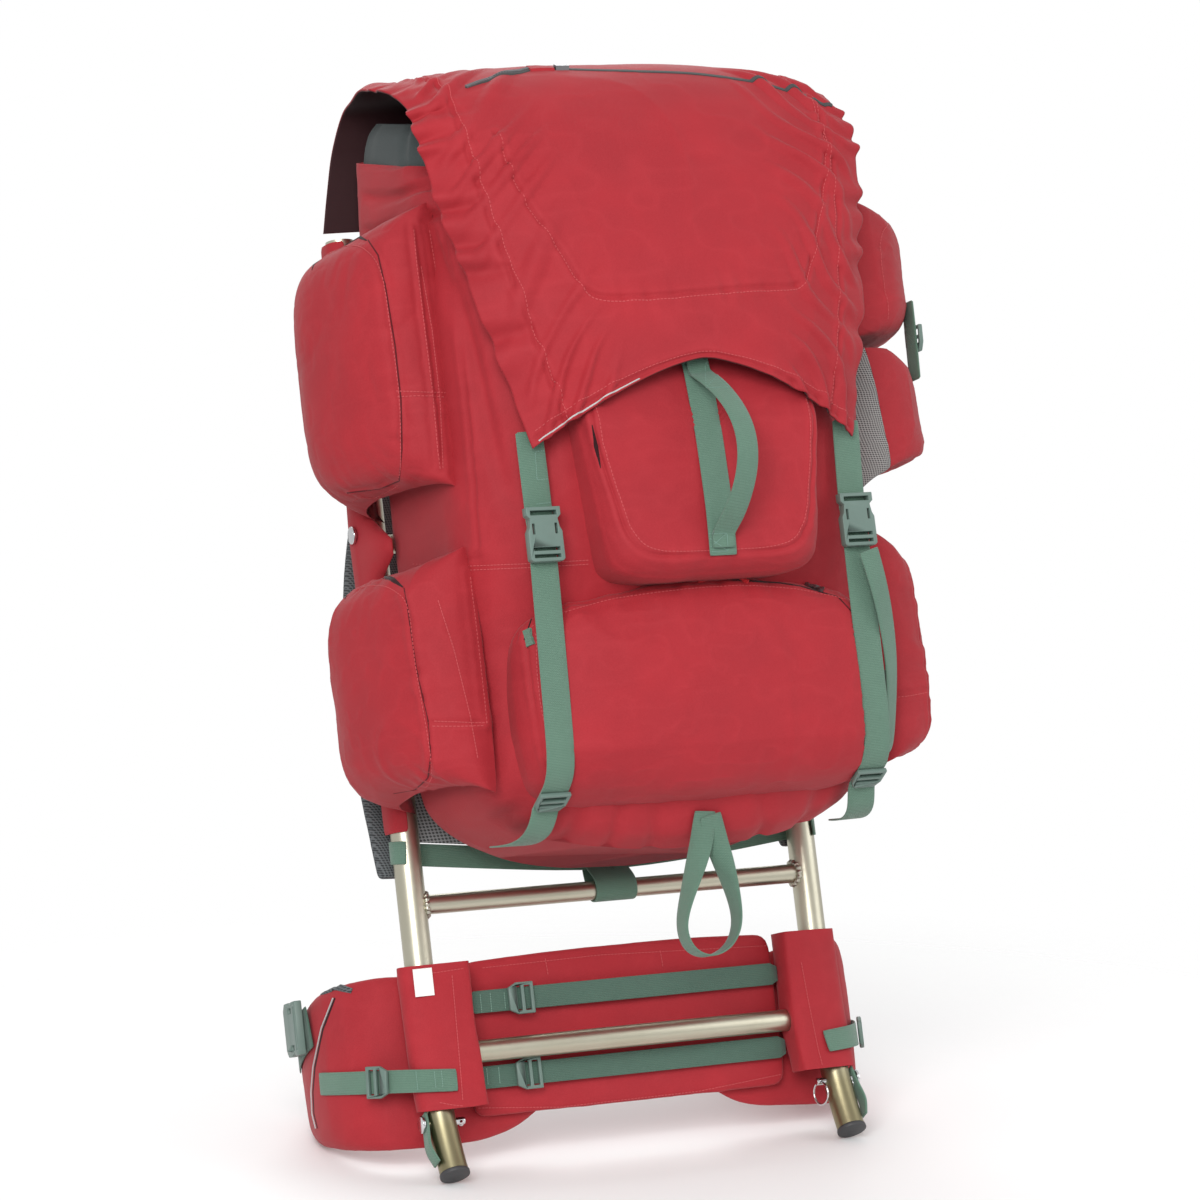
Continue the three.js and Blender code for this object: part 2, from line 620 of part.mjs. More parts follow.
function outlineRing(table, depth, style, inset) {
  const half = table.map(({ x, z }) => [x, z]);
  const full = [...half, ...half.slice(1, -1).reverse().map(([x, z]) => [-x, z])];
  const width = Math.max(...table.map(({ x }) => x));
  const scale = depth.scale - inset / width;
  return full.map(([x, z]) => {
    const height = style.midZ + (z - style.midZ) * scale;
    const over = height - style.slopeFrom;
    const past = style.slope > 0 ? Math.max(0, over) : Math.min(0, over);
    return vec(x * scale, depth.y + past * style.slope, height);
  });
}

function panelBlock(table, depths, style, inset) {
  const rings = depths.map((depth, k) => {
    const y = k === 0 ? depth.y + (inset > 0 ? 20 : 0) : depth.y + inset;
    return outlineRing(table, { ...depth, y }, style, inset);
  });
  return toSolid(loft(rings));
}

function panelShell(table, depths, style) {
  const inner = panelBlock(table, depths, style, WALL);
  return panelBlock(table, depths, style, 0).subtract(inner).subtract(bagCut);
}

// Draping over what is already built

const caster = new THREE.Raycaster();

function frontOf(names, x, z) {
  caster.set(vec(x, -900, z), vec(0, 1, 0));
  const hits = caster.intersectObjects(names.map((name) => solids[name]), false);
  return hits.length > 0 ? hits[0].point.y : Infinity;
}

// A taut strap's route from one height to another, over the highest places under it
function tautRoute(names, start, end, width, steps) {
  const points = Array.from({ length: steps + 1 }, (_, k) => {
    const t = k / steps;
    const x = start.x + (end.x - start.x) * t;
    const z = start.z + (end.z - start.z) * t;
    const near = [-0.5, -0.25, 0, 0.25, 0.5].flatMap((share) => [-0.5, 0, 0.5].map((lift) => (
      frontOf(names, x + share * width, z + (lift * Math.abs(end.z - start.z)) / steps)
    )));
    return { x, z, y: Math.min(...near) - GAP - WEB.thickness / 2 };
  });
  if (start.y !== undefined) points[0].y = Math.min(points[0].y, start.y);
  const kept = [];
  for (const point of points) {
    while (kept.length >= 2) {
      const [a, b] = kept.slice(-2);
      const slopeBefore = (b.y - a.y) / (a.z - b.z);
      const slopeAfter = (point.y - b.y) / (b.z - point.z);
      if (slopeAfter > slopeBefore) break;
      kept.pop();
    }
    kept.push(point);
  }
  return kept;
}

function straightRibbon(points, width, thickness) {
  return ribbon(points.map(({ x, y, z }) => facing(x, y, z, 0, -1, 0)), width, thickness, 1);
}

// Fittings

function sideBuckle() {
  const { halfWidth: w, height } = SIDE_BUCKLE;
  const h = height / 2;
  const outline = [
    [-w, h], [-w, h - 7], [-w + 3.2, h - 10], [-w + 2, 6], [-w, 2], [-w, -h + 2], [-w + 2, -h],
    [w - 2, -h], [w, -h + 2], [w, 2], [w - 2, 6], [w - 3.2, h - 10], [w, h - 7], [w, h],
  ];
  const windows = [
    windowOf(-w + 3.5, h - 7, w - 3.5, h - 3),
    windowOf(-w + 4, 0, -w + 6.5, 9),
    windowOf(w - 6.5, 0, w - 4, 9),
    windowOf(-w + 3.5, -h + 9, w - 3.5, -h + 12),
    windowOf(-w + 3.5, -h + 3, w - 3.5, -h + 6),
  ];
  return plate(outline, windows, SIDE_BUCKLE.thickness);
}

function ladderLock() {
  const { halfWidth: w, height } = LADDER;
  const h = height / 2;
  const outline = [[-w, h], [-w, -h + 8], [-w + 4, -h], [w - 4, -h], [w, -h + 8], [w, h]];
  const windows = [windowOf(-w + 3, h - 9, w - 3, h - 3), windowOf(-w + 3, h - 16, w - 3, h - 12)];
  return plate(outline, windows, LADDER.thickness);
}

// The belt

function sleeve(side) {
  const stations = [SLEEVE.top, 150, 118, 86, SLEEVE.bottom];
  const section = (center, inset) => {
    const inner = SLEEVE.inner - inset;
    const outer = SLEEVE.outer - inset;
    const front = SLEEVE.front + inset;
    const back = SLEEVE.back - inset;
    const flat = [[-outer + 8, front], [inner - 5, front - SLEEVE.slant], [inner, front - SLEEVE.slant + 3], [inner, back - 8],
      [inner - 9, back], [-outer + 8, back], [-outer, back - 9], [-outer, front + 9]];
    return flat.map(([x, y]) => vec(side * (RAIL.x - x), center.y + y, center.z));
  };
  const block = (inset, extra) => toSolid(loft(stations.map((height, k) => {
    const shift = k === 0 ? extra : (k === stations.length - 1 ? -extra : 0);
    return section({ y: railPoint(height).y, z: height + shift }, inset);
  })));
  const bar = { ...CROSSBARS[1], radius: CROSSBARS[1].radius + 2 * GAP };
  return block(0, 0).subtract(block(WALL, 5)).subtract(toSolid(crossbar(bar)));
}

function lumbarPanel() {
  const half = RAIL.x - SLEEVE.inner - GAP;
  const columns = 9;
  const rows = [0, 0.5, 1];
  const grid = rows.map((t) => Array.from({ length: columns }, (_, k) => {
    const s = -1 + (2 * k) / (columns - 1);
    const top = PANEL.top + PANEL.crown * (1 - s * s);
    return vec(s * half, PANEL.y, PANEL.bottom + (top - PANEL.bottom) * t);
  }));
  return sheet(grid, PANEL.thickness);
}

// A padded band standing on edge along its route
function paddedBand(route, side) {
  const stations = smoothRows(route, 2);
  const corners = 10;
  const rings = stations.map((row, k) => {
    const before = stations[Math.max(k - 1, 0)];
    const after = stations[Math.min(k + 1, stations.length - 1)];
    const along = vec(side * (after.x - before.x), after.y - before.y, 0).normalize();
    const face = vec(along.y, -along.x, 0);
    const half = (row.high - row.low) / 2;
    const middle = vec(side * row.x, row.y, (row.high + row.low) / 2);
    return Array.from({ length: corners }, (_, n) => {
      const angle = (2 * Math.PI * (n + 0.5)) / corners;
      const wide = Math.sign(Math.sin(angle)) * Math.abs(Math.sin(angle)) ** 0.4;
      const deep = Math.sign(Math.cos(angle)) * Math.abs(Math.cos(angle)) ** 0.7;
      return middle.clone()
        .addScaledVector(vec(0, 0, 1), half * wide)
        .addScaledVector(face, (row.thick / 2) * deep);
    });
  });
  return loft(rings);
}

// Shoulder straps

const SHOULDER_ROUTE = [
  { x: 62, y: 13.4, z: 761 },
  { x: 70, y: 48, z: 768 },
  { x: 88, y: 88, z: 735 },
  { x: 112, y: 114, z: 672 },
  { x: 140, y: 118, z: 590 },
  { x: 165, y: 100, z: 490 },
  { x: 184, y: 62, z: 395 },
  { x: 195, y: 30, z: 318 },
  { x: 198, y: 22.3, z: 266 },
];
const SHOULDER = { width: 58, thickness: 14 };

function shoulderStrap(side) {
  const stations = smoothRows(SHOULDER_ROUTE, 2);
  const rings = stations.map((row, k) => {
    const before = stations[Math.max(k - 1, 0)];
    const after = stations[Math.min(k + 1, stations.length - 1)];
    const along = vec(side * (after.x - before.x), after.y - before.y, after.z - before.z).normalize();
    const across = vec(side, 0, 0).addScaledVector(along, -along.x * side).normalize();
    const face = vec(0, 0, 0).crossVectors(along, across);
    const t = k / (stations.length - 1);
    const taper = 1 - 0.45 * Math.max(0, (t - 0.7) / 0.3);
    return Array.from({ length: 8 }, (_, n) => {
      const angle = (2 * Math.PI * (n + 0.5)) / 8;
      const wide = Math.sign(Math.cos(angle)) * Math.abs(Math.cos(angle)) ** 0.45;
      return vec(side * row.x, row.y, row.z)
        .addScaledVector(across, ((SHOULDER.width * taper) / 2) * wide)
        .addScaledVector(face, (SHOULDER.thickness / 2) * Math.sin(angle));
    });
  });
  return loft(rings);
}

// Small fittings

function boxSolid([x0, y0, z0], [x1, y1, z1]) {
  const block = new THREE.BoxGeometry(x1 - x0, y1 - y0, z1 - z0);
  block.translate((x0 + x1) / 2, (y0 + y1) / 2, (z0 + z1) / 2);
  return toSolid(block);
}

function bandGrid() {
  const columns = BAND_EDGE.filter((row) => row.cloth === 1);
  return [0, 0.5, 1].map((t) => columns.map((row) => {
    const low = row.z + WEB.narrow / 2 + 3 * GAP;
    return vec(row.x, row.y, low + (BAND.top - low) * t);
  }));
}

// A loop of webbing from the band's lower edge round the upper crossbar
function tabRoute() {
  const bar = CROSSBARS[0];
  const reach = bar.radius + 2 * GAP + WEB.thickness / 2;
  const turn = Array.from({ length: 9 }, (_, k) => {
    const angle = (Math.PI * k) / 8;
    const [y, z] = [Math.cos(angle), -Math.sin(angle)];
    return facing(0, reach * y, bar.z + reach * z, 0, y, z);
  });
  const outer = BAND.y + BAND.tabGap;
  const inner = BAND.y - BAND.tabGap;
  return [
    facing(0, outer, BAND.tabTop, 0, 1, 0),
    facing(0, outer, BAND.tabTop - 22, 0, 1, -0.1),
    ...turn,
    facing(0, -reach + 1.5, bar.z + 10, 0, -1, 0.3),
    facing(0, inner - 5, bar.z + 20, 0, -0.8, 0.7),
    facing(0, inner, bar.z + 27, 0, -1, 0.1),
    facing(0, inner, BAND.tabTop, 0, -1, 0),
  ];
}

// How far out a piece's outer face reaches at a point
function reachOf(name, side, y, z) {
  caster.set(vec(side * 900, y, z), vec(-side, 0, 0));
  const hits = caster.intersectObject(solids[name], false);
  return hits.length > 0 ? Math.abs(hits[0].point.x) : 0;
}

function beltRoute(side) {
  const wing = side < 0 ? 'belt_wing_left' : 'belt_wing_right';
  return [0, 0.2, 0.4, 0.6, 0.8, 1].map((t) => {
    const y = BELT.from + (BELT.to - BELT.from) * t;
    const z = BELT.z + (BELT.endZ - BELT.z) * t;
    const levels = [-0.5, -0.25, 0, 0.25, 0.5].map((share) => z + share * BELT.webbing);
    const reach = Math.max(...levels.map((level) => reachOf(wing, side, y, level)));
    const out = reach + WEB.thickness / 2 + 3 * GAP;
    return facing(side * out, y, z, side, 0.02 + 0.35 * t, 0);
  });
}

function beltBuckle(side, route) {
  const windows = [windowOf(-19, 19, 19, 24), windowOf(-19, -4, -14, 10), windowOf(14, -4, 19, 10)];
  const body = plate(BUCKLE_OUTLINE, windows, BELT.buckle);
  const [near, far] = [BELT.buckleFrom, BELT.buckleTo].map((y) => {
    const level = route.reduce((best, row) => (Math.abs(row.y - y) < Math.abs(best.y - y) ? row : best));
    return vec(level.x, level.y, BELT.z);
  });
  const along = far.clone().sub(near).normalize();
  const out = vec(side * along.y, -side * along.x, 0);
  const bulge = Math.max(...route.map((row) => vec(row.x, row.y, BELT.z).sub(near).dot(out)));
  const lift = bulge + (WEB.thickness + BELT.buckle) / 2 + 3 * GAP;
  const middle = near.clone().lerp(far, 0.5).addScaledVector(out, lift);
  return turned(body, middle, out, along.clone().negate());
}

function footPin(side) {
  const head = pinShank(side, PIN.headRadius, RAIL.x + PIN.outer, RAIL.x + PIN.outer + PIN.headThickness);
  const shank = pinShank(side, PIN.radius, RAIL.x - PIN.inner, RAIL.x + PIN.outer + 1);
  const y = railPoint(PIN.z).y;
  const hole = splitRing(side, vec(0, y, PIN.z), RING.wire + GAP);
  return toSolid(head).add(toSolid(shank)).subtract(toSolid(hole));
}

function splitRing(side, centre, wire) {
  const ring = new THREE.TorusGeometry(RING.radius, wire, 6, 14);
  ring.rotateY(Math.PI / 2);
  ring.rotateZ(side * RING.turn);
  ring.translate(side * (RAIL.x - PIN.inner + RING.from), centre.y, centre.z - RING.radius);
  return ring;
}

function footTab(side, centre) {
  const x = side * (RAIL.x + TAB.gap);
  const along = (down, out, nx) => {
    const point = centre.clone().addScaledVector(FOOT_WAY, down);
    return facing(x + side * out, point.y, point.z, side * nx, 0, 0);
  };
  const strip = toSolid(ribbon([
    along(-9, 1.2, 1), along(0, 1.4, 1), along(12, 3.4, 1), along(24, 5.6, 1), along(34, 2.2, 1), along(38.5, 0.8, 1),
  ], TAB.width, TAB.thickness, 1));
  return strip.subtract(toSolid(pinShank(side, PIN.radius + GAP, RAIL.x, RAIL.x + 40)));
}

function bagPin(side) {
  const cloth = new THREE.Box3().setFromObject(solids[side < 0 ? 'side_flange_left' : 'side_flange_right'], true);
  const out = Math.max(Math.abs(cloth.min.x), Math.abs(cloth.max.x)) + GAP;
  const ends = [0, BAG_PIN.thickness].map((depth) => vec(side * (out + depth), BAG_PIN.y, BAG_PIN.z));
  return roundBar(ends, BAG_PIN.radius, 14, vec(0, 0, 1));
}

function labelPlate() {
  const w = LABEL.width / 2;
  const h = LABEL.height / 2;
  const way = vec(-SLEEVE.slant, -(SLEEVE.inner + SLEEVE.outer - 13), 0).normalize();
  const beyond = (RAIL.x + SLEEVE.outer - 8 - LABEL.x) / (SLEEVE.inner + SLEEVE.outer - 13);
  const face = vec(-LABEL.x, SLEEVE.front - SLEEVE.slant * beyond, LABEL.z);
  const at = face.addScaledVector(way, LABEL.thickness / 2 + GAP);
  return turned(plate([[-w, -h], [w, -h], [w, h], [-w, h]], [], LABEL.thickness), at, way, vec(0, 0, 1));
}

// Assembly

add('frame', frameSolid(), 'aluminium', 0.35, 0.9);
for (const [name, side] of [['foot_cap_left', -1], ['foot_cap_right', 1]]) {
  add(name, footCap(side), 'cap', 0.6);
}

add('main_bag', bagBlock(0, 0).subtract(bagBlock(-WALL, 60)), 'red');
add('collar', collarBlock(0, 0).subtract(collarBlock(-WALL, 5)), 'grey');
add('lid_flap', sheet(lidGrid(), LID.wall), 'red');

for (const pocket of SIDE_POCKETS) add(pocket.name, pocketShell(pocket), 'red');
add('front_pocket', panelShell(FRONT_OUTLINE, FRONT_DEPTHS, FRONT), 'red');
add('lower_compartment', panelShell(LOWER_OUTLINE, LOWER_DEPTHS, LOWER), 'red');

for (const [name, side] of [['side_flange_left', -1], ['side_flange_right', 1]]) {
  add(name, sheet(flangeGrid(side), WALL), 'red');
}

const handleLine = tautRoute(['front_pocket'], { x: 0, z: HANDLE.top + 35 }, { x: 0, z: 488 }, WEB.wide, 16);
add('handle_strip', straightRibbon(handleLine, WEB.wide, WEB.thickness), 'green');
const handleEnd = (z, way) => (
  Math.min(...[0, 6, 12].map((off) => frontOf(['handle_strip'], 0, z + off * way))) - GAP - WEB.thickness / 2
);
const [topY, lowY] = [handleEnd(HANDLE.top, 1), handleEnd(HANDLE.bottom, -1)];
const handleArch = Array.from({ length: HANDLE.steps + 1 }, (_, k) => {
  const t = k / HANDLE.steps;
  const arch = Math.sin(Math.PI * t) ** 0.8;
  const y = topY + (lowY - topY) * t - HANDLE.bulge * arch;
  return facing(HANDLE.drift * arch, y, HANDLE.top + (HANDLE.bottom - HANDLE.top) * t, 0.1 * arch, -1, 0);
});
add('grab_handle', ribbon([
  facing(0, topY, HANDLE.top + 12, 0, -1, 0),
  ...handleArch,
  facing(0, lowY, HANDLE.bottom - 12, 0, -1, 0),
], WEB.wide * 0.8, WEB.thickness, 1), 'green');

for (const [word, side] of [['left', -1], ['right', 1]]) {
  const half = SIDE_BUCKLE.height / 2;
  const buckleX = side * SIDE_BUCKLE.x;
  const at = vec(buckleX, SIDE_BUCKLE.y, SIDE_BUCKLE.z);
  add(`strap_buckle_${word}`, turned(sideBuckle(), at, vec(0, -1, 0), vec(0, 0, 1)), 'buckle', 0.45);
  const behind = SIDE_BUCKLE.y + SIDE_BUCKLE.thickness / 2 + GAP + WEB.thickness / 2;
  add(`lid_strap_${word}`, straightRibbon([
    { x: side * STRAP_TOP.x, y: STRAP_TOP.y, z: STRAP_TOP.z },
    { x: buckleX, y: behind, z: SIDE_BUCKLE.z + half - 2 },
    { x: buckleX, y: behind, z: SIDE_BUCKLE.z + 8 },
  ], WEB.wide, WEB.thickness), 'green');
  const start = { x: buckleX, y: behind, z: SIDE_BUCKLE.z - 4 };
  const end = { x: side * STRAP_FOOT.x, z: STRAP_FOOT.z };
  const route = tautRoute(['main_bag', 'lower_compartment'], start, end, WEB.wide, 18);
  const foot = route[route.length - 1];
  const above = route[route.length - 2];
  const strap = toSolid(straightRibbon(route, WEB.wide, WEB.thickness));
  const up = vec(above.x - foot.x, above.y - foot.y, above.z - foot.z).normalize();
  const face = vec(0, 0, 0).crossVectors(up, vec(-1, 0, 0)).normalize();
  const lockAt = vec(foot.x, foot.y, foot.z)
    .addScaledVector(up, LADDER.height / 2 - 6)
    .addScaledVector(face, (WEB.thickness + LADDER.thickness) / 2 + GAP);
  add(`bag_lock_${word}`, turned(ladderLock(), lockAt, face, up), 'buckle', 0.45);
  const below = (distance) => vec(foot.x, foot.y, foot.z).addScaledVector(up, -distance);
  const [near, far] = [below(-1), below(9)];
  const tail = toSolid(ribbon([
    facing(near.x, near.y, near.z, 0, face.y, face.z),
    facing(far.x, far.y, far.z, 0, face.y, face.z - 0.3),
    facing(foot.x + side * 3, foot.y + 16, foot.z - 22, 0, -0.6, -0.8),
    facing(foot.x + side * 8, foot.y + 40, foot.z - 30, 0, -0.2, -1),
    facing(foot.x + side * 14, foot.y + 78, foot.z - 26, 0, 0.1, -1),
  ], WEB.wide, WEB.thickness, 1));
  add(`bag_strap_${word}`, strap.add(tail), 'green');
}

add('strap_loop_right', ribbon(LOOP_ROUTE.map(({ x, y, z, nx, ny, nz }) => facing(x, y, z, nx, ny, nz)),
  WEB.narrow, WEB.thickness, 2), 'green');

const bottle = { ...BOTTLE, name: 'bottle_pocket' };
const aboveMouth = boxSolid([150, -400, BOTTLE.mouth], [420, 100, 900]);
const meshSide = vec(-1, -BOTTLE_SEAM.outPerForward, -BOTTLE_SEAM.outPerDown).normalize();
const seamAt = meshSide.dot(vec(BOTTLE_SEAM.out, BOTTLE_SEAM.y, BOTTLE_SEAM.z));
const upperCut = pocketBlock({ ...SIDE_POCKETS[3], bottom: SIDE_POCKETS[3].bottom - 2 }, -2 * GAP);
const bottleWhole = pocketShell(bottle).subtract(aboveMouth).subtract(upperCut);
const clothSide = meshSide.clone().negate();
add('bottle_pocket', bottleWhole.trimByPlane(clothSide.toArray(), BOTTLE_SEAM.gap - seamAt), 'red');
add('bottle_mesh', bottleWhole.trimByPlane(meshSide.toArray(), seamAt), 'mesh');
const bottleNames = ['bottle_pocket', 'bottle_mesh', 'upper_pocket_right'];
const bottleEnds = [BOTTLE_STRAP.top, BOTTLE_STRAP.bottom].map((z) => {
  const across = [-0.5, 0, 0.5].map((share) => BOTTLE_STRAP.y + share * WEB.narrow);
  const reach = across.flatMap((y) => bottleNames.map((name) => reachOf(name, 1, y, z)));
  return vec(Math.max(...reach) + WEB.thickness / 2 + GAP, BOTTLE_STRAP.y, z);
});
const bottleUp = bottleEnds[0].clone().sub(bottleEnds[1]).normalize();
const bottleOut = vec(bottleUp.z, 0, -bottleUp.x);
add('bottle_strap', ribbon(bottleEnds.map((end) => (
  facing(end.x, end.y, end.z, bottleOut.x, bottleOut.y, bottleOut.z)
)), WEB.narrow, WEB.thickness, 1), 'green');
const lockShare = (BOTTLE_STRAP.lockZ - BOTTLE_STRAP.bottom) / (BOTTLE_STRAP.top - BOTTLE_STRAP.bottom);
add('bottle_lock', turned(ladderLock(), bottleEnds[1].clone().lerp(bottleEnds[0], lockShare)
  .addScaledVector(bottleOut, (WEB.thickness + LADDER.thickness) / 2 + GAP), bottleOut, bottleUp), 'buckle', 0.45);

// A hanging loop whose ends are sewn together under the bag
const haulEnd = frontOf(['main_bag'], 0, HAUL.z) - GAP - WEB.thickness;
const haulPoint = (out, down) => vec(out, haulEnd, HAUL.z).addScaledVector(DOWN, down);
const haulTable = [
  { out: -2, down: 0, nx: 0.1, ny: -1, lift: 0 },
  { out: -6, down: 30, nx: -0.5, ny: -0.8, lift: 0 },
  { out: -17, down: 66, nx: -1, ny: -0.25, lift: 0 },
  { out: -24, down: 96, nx: -1, ny: 0, lift: 0 },
  { out: -16, down: 118, nx: -0.7, ny: 0, lift: -0.7 },
  { out: 2, down: HAUL.drop, nx: 0, ny: 0, lift: -1 },
  { out: 20, down: 118, nx: 0.7, ny: 0, lift: -0.7 },
  { out: 28, down: 96, nx: 1, ny: 0, lift: 0 },
  { out: 20, down: 62, nx: 0.9, ny: 0.4, lift: 0 },
  { out: 8, down: 28, nx: 0.4, ny: 0.9, lift: 0 },
  { out: 2, down: 4, nx: 0, ny: 1, lift: 0 },
];
add('haul_loop', ribbon(haulTable.map(({ out, down, nx, ny, lift }, k) => {
  const point = haulPoint(out, down);
  const apart = k > haulTable.length / 2 ? -WEB.thickness - 2 * GAP : 0;
  return facing(point.x, point.y + apart, point.z, nx, ny, lift);
}), WEB.narrow, WEB.thickness, 2), 'green');

// The mesh back band and the webbing along its lower edge
add('back_band', sheet(bandGrid(), WALL), 'mesh');
add('band_webbing', ribbon(BAND_EDGE, WEB.narrow, WEB.thickness, 1), 'green');
add('centre_tab', ribbon(tabRoute(), BAND.tab, WEB.thickness, 1), 'green');

for (const [word, side] of [['left', -1], ['right', 1]]) {
  add(`shoulder_strap_${word}`, shoulderStrap(side), 'mesh');
  add(`rail_sleeve_${word}`, sleeve(side), 'red');
  add(`belt_wing_${word}`, paddedBand(WING_ROUTE, side), 'red');
  add(`wing_strap_${word}`, ribbon(mirrored(WING_STRAP, side), WEB.narrow, WEB.thickness, 1), 'green');
  const [from, to] = [WING_STRAP[2], WING_STRAP[3]];
  const along = vec(side * (to.x - from.x), to.y - from.y, to.z - from.z).normalize();
  const out = vec(side * along.y, -side * along.x, 0).normalize();
  const middle = vec(side * (from.x + to.x) / 2, (from.y + to.y) / 2, (from.z + to.z) / 2);
  middle.addScaledVector(out, (WEB.thickness + LADDER.thickness) / 2 + 3 * GAP);
  add(`wing_lock_${word}`, turned(ladderLock(), middle, out, along), 'buckle', 0.45);
  const belt = beltRoute(side);
  add(`belt_strap_${word}`, ribbon(belt, BELT.webbing, WEB.thickness, 1), 'green');
  add(`belt_buckle_${word}`, beltBuckle(side, belt), 'buckle', 0.45);
  const centre = vec(side * RAIL.x, railPoint(PIN.z).y, PIN.z);
  add(`foot_pin_${word}`, footPin(side), 'chrome', 0.2, 1);
  if (side > 0) add(`split_ring_${word}`, splitRing(side, centre, RING.wire), 'chrome', 0.2, 1);
  add(`foot_tab_${word}`, footTab(side, centre), 'green');
  add(`bag_pin_${word}`, bagPin(side), 'chrome', 0.2, 1);
}

add('lumbar_panel', lumbarPanel(), 'red');
for (const strap of LUMBAR_STRAPS) {
  const ends = RAIL.x - SLEEVE.inner - GAP;
  const points = [-1, 1].map((share) => ({ x: share * ends, y: strap.y, z: strap.z }));
  add(strap.name, straightRibbon(points, WEB.narrow, WEB.thickness), 'green');
  const at = vec(-102, strap.y - (WEB.thickness + LADDER.thickness) / 2 - GAP, strap.z);
  add(strap.lock, turned(ladderLock(), at, vec(0, -1, 0), vec(1, 0, 0)), 'buckle', 0.45);
}
add('blank_label', labelPlate(), 'white', 0.7);

pack.rotation.x = -leanAngle;
pack.updateMatrixWorld(true);
const box = new THREE.Box3().setFromObject(pack, true);
pack.position.set(-(box.min.x + box.max.x) / 2, -(box.min.y + box.max.y) / 2, -box.min.z);
export default pack;
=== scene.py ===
# %% [markdown]
# # Rebuilding an external frame backpack
# The real pack is a sewn nylon bag pinned to a bent aluminium ladder frame. It leans back on its two feet
# and on the low edges of its hip belt. The solids come in as a fixed frame. Every cloth piece is then
# made again here with folds, seams, stitches and zips, and each hard piece gets its real finish.

import math

import bmesh
import bpy
import numpy as np
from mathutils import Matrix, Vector
from mathutils.bvhtree import BVHTree


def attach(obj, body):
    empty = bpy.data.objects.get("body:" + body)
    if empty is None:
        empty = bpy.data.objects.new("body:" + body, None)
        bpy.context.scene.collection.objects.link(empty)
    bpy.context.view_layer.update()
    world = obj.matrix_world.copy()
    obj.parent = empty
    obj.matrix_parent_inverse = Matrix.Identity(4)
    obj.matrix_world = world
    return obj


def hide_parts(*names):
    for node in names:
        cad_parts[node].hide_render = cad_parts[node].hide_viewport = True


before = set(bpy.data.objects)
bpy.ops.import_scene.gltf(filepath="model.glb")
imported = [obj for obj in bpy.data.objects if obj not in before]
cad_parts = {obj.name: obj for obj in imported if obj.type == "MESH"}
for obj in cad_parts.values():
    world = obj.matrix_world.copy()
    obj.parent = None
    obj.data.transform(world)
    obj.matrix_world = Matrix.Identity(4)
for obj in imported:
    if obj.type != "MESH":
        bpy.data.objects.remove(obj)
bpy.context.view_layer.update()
print("nodes", len(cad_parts))

# %% [markdown]
# The pack was drawn upright in millimetres and then leaned back until its feet and belt touched the floor.
# Every table below keeps those upright millimetres, and one function carries them to where the pack stands.

# %% From the drawing to the floor
LEAN = math.radians(15.9)
STAND = np.array([-17.094, -59.003, -1.745])


def place(points):
    p = np.atleast_2d(np.asarray(points, float))
    y = p[:, 1] * math.cos(LEAN) + p[:, 2] * math.sin(LEAN)
    z = p[:, 2] * math.cos(LEAN) - p[:, 1] * math.sin(LEAN)
    return (np.column_stack([p[:, 0], y, z]) + STAND) / 1000


def upright(points):
    p = np.atleast_2d(np.asarray(points, float)) * 1000 - STAND
    y = p[:, 1] * math.cos(LEAN) - p[:, 2] * math.sin(LEAN)
    z = p[:, 2] * math.cos(LEAN) + p[:, 1] * math.sin(LEAN)
    return np.column_stack([p[:, 0], y, z])


def turn(ways):
    w = np.atleast_2d(np.asarray(ways, float))
    y = w[:, 1] * math.cos(LEAN) + w[:, 2] * math.sin(LEAN)
    z = w[:, 2] * math.cos(LEAN) - w[:, 1] * math.sin(LEAN)
    return np.column_stack([w[:, 0], y, z])


# %% [markdown]
# The photograph was taken from the front left, a little above the middle of the pack, with a long lens.
# The camera comes first, so that everything else can be judged through it.

# %% The camera
AZIMUTH = math.radians(-24.7)
ELEVATION = math.radians(6.9)
DISTANCE = 3.767
LENS, SENSOR = 128.9, 36
AIM = Vector((-0.0255, 0.0368, 0.494)) + Vector(STAND / 1000)

camera_data = bpy.data.cameras.new("camera")
camera_data.lens = LENS
camera_data.sensor_width = SENSOR
camera_data.clip_end = 50
camera = bpy.data.objects.new("camera", camera_data)
bpy.context.collection.objects.link(camera)
towards = Vector((math.sin(AZIMUTH) * math.cos(ELEVATION), -math.cos(AZIMUTH) * math.cos(ELEVATION),
                  math.sin(ELEVATION)))
camera.location = AIM + towards * DISTANCE
camera.rotation_euler = towards.to_track_quat("Z", "Y").to_euler()
bpy.context.scene.camera = camera

# %% [markdown]
# Shader maths reads best as plain sums. One small class wraps a socket, so that `1 - mask` or `noise * 0.2`
# adds its own Math node, and one method makes any other node.


# %% A finish and its sockets
class Link:
    def __init__(self, finish, socket):
        self.finish = finish
        self.socket = socket

    def maths(self, operation, *values):
        return self.finish.node("ShaderNodeMath", {"operation": operation}, *values)

    def __add__(self, other):
        return self.maths("ADD", self, other)

    __radd__ = __add__

    def __sub__(self, other):
        return self.maths("SUBTRACT", self, other)

    def __rsub__(self, other):
        return self.maths("SUBTRACT", other, self)

    def __mul__(self, other):
        return self.maths("MULTIPLY", self, other)

    __rmul__ = __mul__

    def __pow__(self, other):
        return self.maths("POWER", self, other)

    def above(self, edge):
        return self.maths("GREATER_THAN", self, edge)

    def wave(self, pitch):
        return self.maths("SINE", self * (2 * math.pi / pitch))


